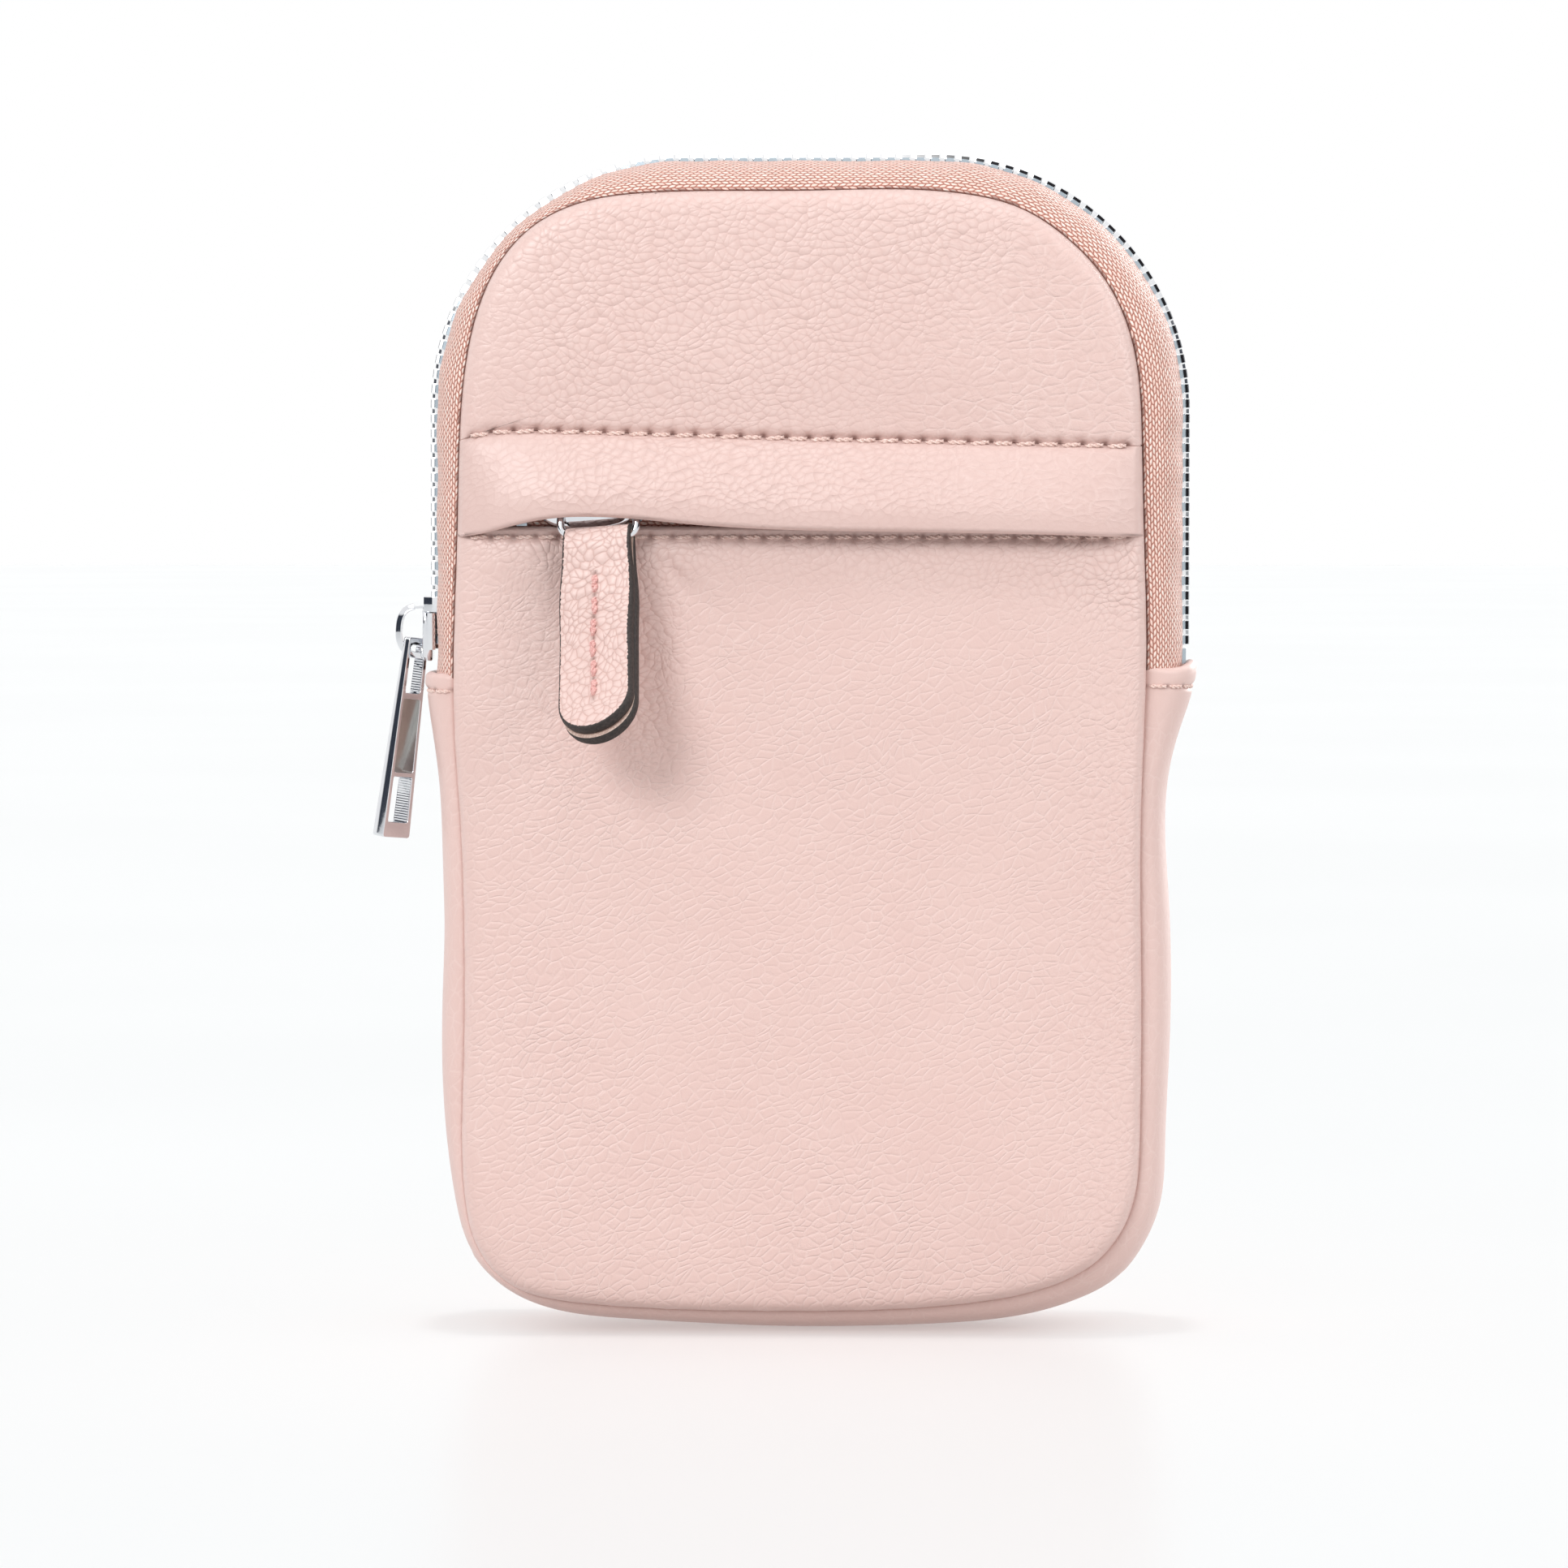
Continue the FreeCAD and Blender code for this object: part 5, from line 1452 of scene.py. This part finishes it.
def dome_plate(cx, cz, ax, az, y0, rise, n=48, rings=9, p=2.6):
    V, F = [], []
    prof = [(1.0, 0.0), (1.0, -0.45), (0.985, -0.7), (0.95, -0.85)] + [(0.95 * math.cos(q), -0.85 - rise * math.sin(q)) for q in np.linspace(0.25, math.pi / 2 - 0.02, rings)]
    for f, dy in prof:
        for i in range(n):
            a = 2 * math.pi * i / n
            c, s_ = math.cos(a), math.sin(a)
            V.append((cx + ax * f * np.sign(c) * abs(c) ** (2 / p), y0 + dy, cz + az * f * np.sign(s_) * abs(s_) ** (2 / p)))
    F = grid_faces(len(prof), n, close_m=True)
    F.append([(len(prof) - 1) * n + i for i in range(n)])
    F.append(list(range(n - 1, -1, -1)))
    return np.array(V), F


eye_c = np.array([-30.9, -18.5, 126.6])
eye_path = np.array([eye_c + np.array([0, 1.18 * math.cos(a), 1.18 * math.sin(a)]) for a in np.linspace(0.5, 2 * math.pi - 0.5, 26)])
eye_sec = [(0.32 * math.cos(a), 0.85 * math.sin(a)) for a in np.linspace(0, 2 * math.pi, 12, endpoint=False)]
ppost = curve_plate([rrect(-38.9, 124.95, -36.5, 126.05, 0.35, 3)], 2.0, 0.1, 1)
pp = np.stack([ppost[0][:, 0], ppost[0][:, 2] - 14.6, ppost[0][:, 1]], 1)
pocket_slider = metal_piece("pocket_slider_nickel", [
    dome_plate(PX - 0.7, PZ - 0.10, 7.0, 2.75, -16.3, 0.95), dome_plate(PX, PZ, 6.6, 2.7, -12.2, 0.05), (pp, ppost[1]),
    sweep(eye_path, (1, 0, 0), eye_sec)], angle=50)

# ---- ring of round wire through the eye: a rounded rectangle
ra_ = np.array([math.cos(math.radians(5)), -math.sin(math.radians(5)), 0])
ro_ = np.array([-math.sin(math.radians(5)), -math.cos(math.radians(5)), 0])
rd_ = np.array([0, 0, -1.0]) * math.cos(math.radians(12)) + ro_ * math.sin(math.radians(12))
rn_ = np.cross(ra_, rd_)
R_HALF, R_DROP, R_WIRE = 5.8, 4.9, 0.6
loop_ = resample(np.array(rrect(-R_HALF, 0, R_HALF, R_DROP, 1.5, 10) + [rrect(-R_HALF, 0, R_HALF, R_DROP, 1.5, 10)[0]]), 121)[:-1]
tn_ = np.roll(loop_, -1, axis=0) - np.roll(loop_, 1, axis=0)
tn_ /= np.linalg.norm(tn_, axis=1)[:, None]
V_ = []
for (u_, v_), (tu, tv) in zip(loop_, tn_):
    p_ = eye_c + ra_ * u_ + rd_ * v_
    side_ = ra_ * tv - rd_ * tu
    for a in np.linspace(0, 2 * math.pi, 20, endpoint=False):
        V_.append(p_ + (side_ * math.cos(a) + rn_ * math.sin(a)) * R_WIRE)
F_ = [[i * 20 + j, i * 20 + (j + 1) % 20, (i + 1) % 120 * 20 + (j + 1) % 20, (i + 1) % 120 * 20 + j] for i in range(120) for j in range(20)]
ring = metal_piece("pocket_pull_ring_wire", [(np.array(V_), F_)], angle=80)

# =====================================================================  cloth inside: linings, pocket bag, interlining, pocket tapes
def thick_sheet(name, P, y, t, mat, co=None, side=1):
    """A cloth sheet over the grid P (x, z) at y, t thick, with a closed rim."""
    n, m = P.shape[:2]
    A = np.stack([P[..., 0], y, P[..., 1]], -1).reshape(-1, 3)
    B = A.copy()
    B[:, 1] += side * t
    F = grid_faces(n, m, flip=side < 0) + grid_faces(n, m, flip=side > 0, base=n * m)
    loop = [j for j in range(m)] + [i * m + m - 1 for i in range(1, n)] + [(n - 1) * m + j for j in range(m - 2, -1, -1)] + [i * m for i in range(n - 2, 0, -1)]
    for a in range(len(loop)):
        b2 = (a + 1) % len(loop)
        q = [loop[a], loop[b2], loop[b2] + n * m, loop[a] + n * m]
        F.append(q[::-1] if side > 0 else q)
    ob = add_mesh(name, np.concatenate([A, B]), F)
    c = np.stack([P[..., 0], P[..., 1], P[..., 0] * 0], -1).reshape(-1, 3) if co is None else co
    vec_attr(ob, "weave_co", np.concatenate([c, c]))
    ob.data.materials.append(mat)
    return ob


def inset(run_, d):
    t = np.gradient(run_, axis=0)
    t /= np.linalg.norm(t, axis=1)[:, None]
    return run_ - np.stack([t[:, 1], -t[:, 0]], 1) * d


us = np.linspace(0, 1, 64)
vs = np.linspace(0, 1, 90)
Pl = coons(inset(seam_run(BL, BR), 1.6), inset(seam_run(BR, TR), 1.6), inset(seam_run(TR, TL), 1.6)[::-1], inset(seam_run(TL, BL), 1.6)[::-1], us, vs)
Xl, Zl = Pl[..., 0], Pl[..., 1]
Dl = seam_distance(Xl, Zl)
loose = smooth(2, 12, Dl)
back_lining = thick_sheet("back_lining_cloth", Pl, 11.0 - 0.35 * loose * (0.5 + 0.5 * swell(Xl * 1.6, Zl * 1.6)), 0.28, M_LINING)
back_felt = thick_sheet("back_interlining_felt", Pl * np.array([0.95, 0.95]) + np.array([0, 4.4]), 12.4 + 1.7 * loose, 0.9, M_LINING)
front_lining = thick_sheet("front_lining_cloth", Pl, -10.0 + 0.35 * loose * (0.5 + 0.5 * swell(Xl * 1.5 + 30, Zl * 1.5)), 0.28, M_LINING, side=-1)
zt = 133.6
bl_, br_ = cut_seam(40.0, False), cut_seam(40.0, True)
tl_, tr_ = cut_seam(zt, False), cut_seam(zt, True)
Pb = coons(level(40.0), inset(seam_run(br_, tr_), 0.0), level(zt), inset(seam_run(tl_, bl_), 0.0)[::-1], us, vs)
Pb = np.stack([Pb[..., 0] * 0.955, Pb[..., 1]], -1)
pocket_bag = thick_sheet("pocket_bag_cloth", Pb, -11.3 + 0.3 * swell(Pb[..., 0] * 1.4, Pb[..., 1] * 1.4 + 50), 0.28, M_LINING, side=1)


# gusset lining: the same strip inside the gusset
Vi = []
for i in range(0, len(low_run), 3):
    if side_len[i] < 2.0:
        continue
    s, m2 = low_run[i], mid_pts[i]
    nrm = (m2 - s) / max(1e-6, np.linalg.norm(m2 - s))
    qq = np.linspace(-0.93, 0.93, 17)
    e = gusset_profile(qq)
    pos = s[None] + (m2 - s)[None] * e[:, None] - nrm[None] * 2.1
    pos = np.where(np.isfinite(pos), pos, s[None])
    Vi.append(np.stack([pos[:, 0], qq * 11.3, pos[:, 1]], 1))
Vi = np.array(Vi)
Vo = Vi.copy()
Vo[..., 1] *= 0.985
for i in range(len(Vo)):
    c = np.array([0, 0, 60.0]) - Vo[i].mean(0)
    c[1] = 0
    Vo[i] += 0.28 * c / np.linalg.norm(c)
n_, m_2 = Vi.shape[:2]
F = grid_faces(n_, m_2, flip=True) + grid_faces(n_, m_2, base=n_ * m_2)
loop = [j for j in range(m_2)] + [i * m_2 + m_2 - 1 for i in range(1, n_)] + [(n_ - 1) * m_2 + j for j in range(m_2 - 2, -1, -1)] + [i * m_2 for i in range(n_ - 2, 0, -1)]
for a in range(len(loop)):
    b2 = (a + 1) % len(loop)
    F.append([loop[a], loop[b2], loop[b2] + n_ * m_2, loop[a] + n_ * m_2])
gusset_lining = add_mesh("gusset_lining_cloth", np.concatenate([Vi.reshape(-1, 3), Vo.reshape(-1, 3)]), F)
ac = np.arange(n_)[:, None] * 3.0 + 0 * Vi[..., 1]
cw = np.stack([Vi[..., 1] * 1.2, ac, 0 * ac], -1).reshape(-1, 3)
vec_attr(gusset_lining, "weave_co", np.concatenate([cw, cw]))
gusset_lining.data.materials.append(M_LINING)


def strip(name, z0, z1, y0, wave):
    us_ = np.linspace(-1, 1, 120)
    vs_ = np.linspace(0, 1, 12)
    Px, Pz = np.meshgrid(us_ * 45.0, z0 + (z1 - z0) * vs_)
    Pst = np.stack([Px, Pz], -1)
    co = np.stack([Pz, Px, 0 * Px], -1).reshape(-1, 3)
    return thick_sheet(name, Pst, y0 + wave * np.sin(Px * 0.35) * (Pz - z0) / (z1 - z0), 0.75, M_TAPE, co)


p_tape_up = strip("pocket_tape_upper_woven", 126.55, 134.6, -14.95, 0.0)
p_tape_lo = strip("pocket_tape_lower_woven", 116.3, 124.45, -14.95, 0.0)


def pocket_teeth(name, count, side):
    V, F, C = [], [], 0
    for k in range(count):
        x = (k - (count - 1) / 2.0) * 2.0
        v = np.empty((len(TV), 3))
        s_ = 0.58
        v[:, 0] = x + TV[:, 0] * s_
        v[:, 1] = -14.6 - TV[:, 2] * s_ * 0.9 - 0.3
        v[:, 2] = 125.5 + TV[:, 1] * s_ * (1 if side < 0 else -1)
        V.append(v)
        F += [[C + q for q in (f if side < 0 else f[::-1])] for f in TF]
        C += len(TV)
    ob = add_mesh(name, np.concatenate(V), F, smooth=False)
    ob.data.materials.append(M_TEETH)
    return ob


p_teeth_lo = pocket_teeth("pocket_teeth_lower_row", 40, -1)
p_teeth_up = pocket_teeth("pocket_teeth_upper_row", 41, 1)


# =====================================================================  rides and replacements
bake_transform(front_panel)
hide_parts("front_pocket_panel_lower", "front_pocket_panel_upper")
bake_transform(tape_front)
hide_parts("front_zip_tape", "front_zip_tape_ends")
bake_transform(teeth_front)
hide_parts("front_zip_teeth", "front_zip_teeth_ends")
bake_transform(front_lining)
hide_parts("front_lining_lower", "front_lining_upper")
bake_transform(pocket_bag)
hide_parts("pocket_bag_lower", "pocket_bag_upper")
RIDES = [(yoke, "front_top", "front_yoke"), (flap, "front_top", "pocket_flap"), (back, "bag", "back_panel"), (gusset, "bag", "gusset"),
         (tape_back, "bag", "back_zip_tape"), (teeth_back, "bag", "back_zip_teeth"), (yoke_thread, "front_top", "yoke_topstitch"),
         (pocket_thread, "front_top", "pocket_topstitch"), (hem_thread, "bag", "hem_stitches"), (tab, "pull_tab", "pull_tab_leather"),
         (tab_thread, "pull_tab", "pull_tab_stitches"), (main_pull, "main_pull", "main_pull"), (main_slider, "main_slider", "main_slider_body"),
         (bail, "main_slider", "main_slider_bail"), (ring, "pull_ring", "pocket_pull_ring"), (pocket_slider, "pocket_slider", "pocket_slider_body"), (back_lining, "bag", "back_lining"),
         (back_felt, "bag", "back_interlining"), (gusset_lining, "bag", "gusset_lining"), (p_tape_up, "front_top", "pocket_tape_upper"),
         (p_tape_lo, "front_top", "pocket_tape_lower"), (p_teeth_up, "front_top", "pocket_teeth_upper"), (p_teeth_lo, "front_top", "pocket_teeth_lower")]
for ob, body_name, node in RIDES:
    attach(ob, body_name)
    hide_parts(node)
SLOTS = {"pink_leather": (front_panel, yoke, back, gusset, flap, tab), "zip_tape": (tape_front, tape_back, p_tape_up, p_tape_lo),
         "zip_metal": (teeth_front, teeth_back, p_teeth_up, p_teeth_lo, main_pull, main_slider, bail, pocket_slider, ring),
         "thread": (yoke_thread, pocket_thread, hem_thread, tab_thread), "lining": (front_lining, back_lining, gusset_lining, pocket_bag),
         "interlining": (back_felt,)}
for node in ("main_zip_bottom_stop", "pocket_zip_stops"):
    ob = bpy.data.objects.get(node)
    if ob is not None:
        ob.data.materials.clear()
        ob.data.materials.append(M_TEETH)

# =====================================================================  stage
def floor_mat():
    m, nt, b = new_mat("studio_floor")
    k = Net(nt)
    n = k.noise(k.obj(), 3.0, 2.0)
    lp_ = nt.nodes.new("ShaderNodeLightPath")
    pale = k.mix(k.range(n, 0.3, 0.7), (0.92, 0.935, 0.94, 1), (0.94, 0.955, 0.96, 1))
    nt.links.new(k.mix(lp_.outputs["Is Diffuse Ray"], pale, (0.74, 0.72, 0.71, 1)), b.inputs["Base Color"])
    b.inputs["Roughness"].default_value = 0.3
    b.inputs["Specular IOR Level"].default_value = 0.03
    return m


bm = bmesh.new()
bmesh.ops.create_grid(bm, x_segments=2, y_segments=2, size=6.0)
me = bpy.data.meshes.new("studio_floor")
bm.to_mesh(me)
bm.free()
floor = link(bpy.data.objects.new("studio_floor", me))
floor.location = (0, 3.0, 0)
floor.data.materials.append(floor_mat())
floor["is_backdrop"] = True

world = bpy.data.worlds.new("studio")
scene.world = world
world.use_nodes = True
bg = world.node_tree.nodes["Background"]
bg.inputs[0].default_value = (1, 1, 1, 1)
bg.inputs[1].default_value = 0.6
wn = world.node_tree.nodes
lp = wn.new("ShaderNodeLightPath")
bg2 = wn.new("ShaderNodeBackground")
bg2.inputs[0].default_value = (1, 1, 1, 1)
bg2.inputs[1].default_value = 1.0
wt = wn.new("ShaderNodeTexCoord")
wk = Net(world.node_tree)
wx, wy, wz = wk.sep(wt.outputs["Generated"])
w_az = wk.math("ARCTAN2", wk.math("ABSOLUTE", wx), wk.math("MULTIPLY", wy, -1.0))
flag = wk.math("MULTIPLY", wk.range(w_az, 0.72, 0.84), wk.range(w_az, 1.75, 1.95, 1.0, 0.0))
flag = wk.math("MULTIPLY", flag, wk.math("MULTIPLY", wk.range(wz, -0.30, -0.16), wk.range(wz, 0.34, 0.46, 1.0, 0.0)))
flag = wk.math("MULTIPLY", flag, wk.math("MULTIPLY", lp.outputs["Is Glossy Ray"], 0.97))
world.node_tree.links.new(wk.mix(flag, (1, 1, 1, 1), (0.015, 0.022, 0.04, 1)), bg2.inputs[0])
wmix = wn.new("ShaderNodeMixShader")
wmax = wn.new("ShaderNodeMath")
wmax.operation = "MAXIMUM"
world.node_tree.links.new(lp.outputs["Is Camera Ray"], wmax.inputs[0])
world.node_tree.links.new(lp.outputs["Is Glossy Ray"], wmax.inputs[1])
world.node_tree.links.new(wmax.outputs[0], wmix.inputs[0])
world.node_tree.links.new(bg.outputs[0], wmix.inputs[1])
world.node_tree.links.new(bg2.outputs[0], wmix.inputs[2])
world.node_tree.links.new(wmix.outputs[0], wn["World Output"].inputs[0])


def sun(name, az, el, strength, angle):
    l = bpy.data.lights.new(name, "SUN")
    l.energy = strength
    l.angle = math.radians(angle)
    o = link(bpy.data.objects.new(name, l))
    d = Vector((math.sin(math.radians(az)) * math.cos(math.radians(el)), -math.cos(math.radians(az)) * math.cos(math.radians(el)), math.sin(math.radians(el))))
    o.rotation_mode = "QUATERNION"
    o.rotation_quaternion = (-d).to_track_quat("-Z", "Y")
    return o


# a broad soft key from the upper left, and a weaker one from above
key = sun("key", -31, 30, 1.40, 24)
top = sun("top", 10, 80, 0.62, 60)
side = sun("side", 68, 22, 1.05, 40)
left = sun("left", -82, 14, 0.36, 40)
rear = sun("rear", 152, 16, 1.35, 30)
lit = bpy.data.collections.new("lit_pieces")
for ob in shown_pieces():
    lit.objects.link(ob)
soft = bpy.data.collections.new("lit_soft_pieces")
for slot_name in ("pink_leather", "zip_tape", "thread", "lining", "interlining"):
    for ob in SLOTS[slot_name]:
        soft.objects.link(ob)
for l_ in (key, top):
    l_.light_linking.receiver_collection = lit
for l_ in (side, left, rear):
    l_.light_linking.receiver_collection = soft
wash = sun("floor_wash", 0, 88, 1.06, 10)
wash.data.use_shadow = False
foot = sun("floor_foot", 180, 89.0, 0.29, 3)
stands = bpy.data.collections.new("stands_on_floor")
for ob in (gusset, back, front_panel):
    stands.objects.link(ob)
foot.light_linking.blocker_collection = stands
under = bpy.data.collections.new("lit_floor")
under.objects.link(floor)
for l_ in (wash, foot):
    l_.light_linking.receiver_collection = under

# camera: nearly level with the pouch, a little to its right
AZ, EL, DIST = math.radians(1.5), math.radians(2.5), 1.1
target = Vector((-0.0034, 0, 0.08325))
cam = bpy.data.cameras.new("camera")
cam.sensor_width = 36.0
cam.lens = 36.0 * DIST / 0.2415
cam_o = link(bpy.data.objects.new("camera", cam))
back_v = Vector((math.sin(AZ) * math.cos(EL), -math.cos(AZ) * math.cos(EL), math.sin(EL)))
cam_o.location = target + back_v * DIST
cam_o.rotation_mode = "QUATERNION"
cam_o.rotation_quaternion = (-back_v).to_track_quat("-Z", "Y")
scene.camera = cam_o
scene.view_settings.view_transform = "Standard"
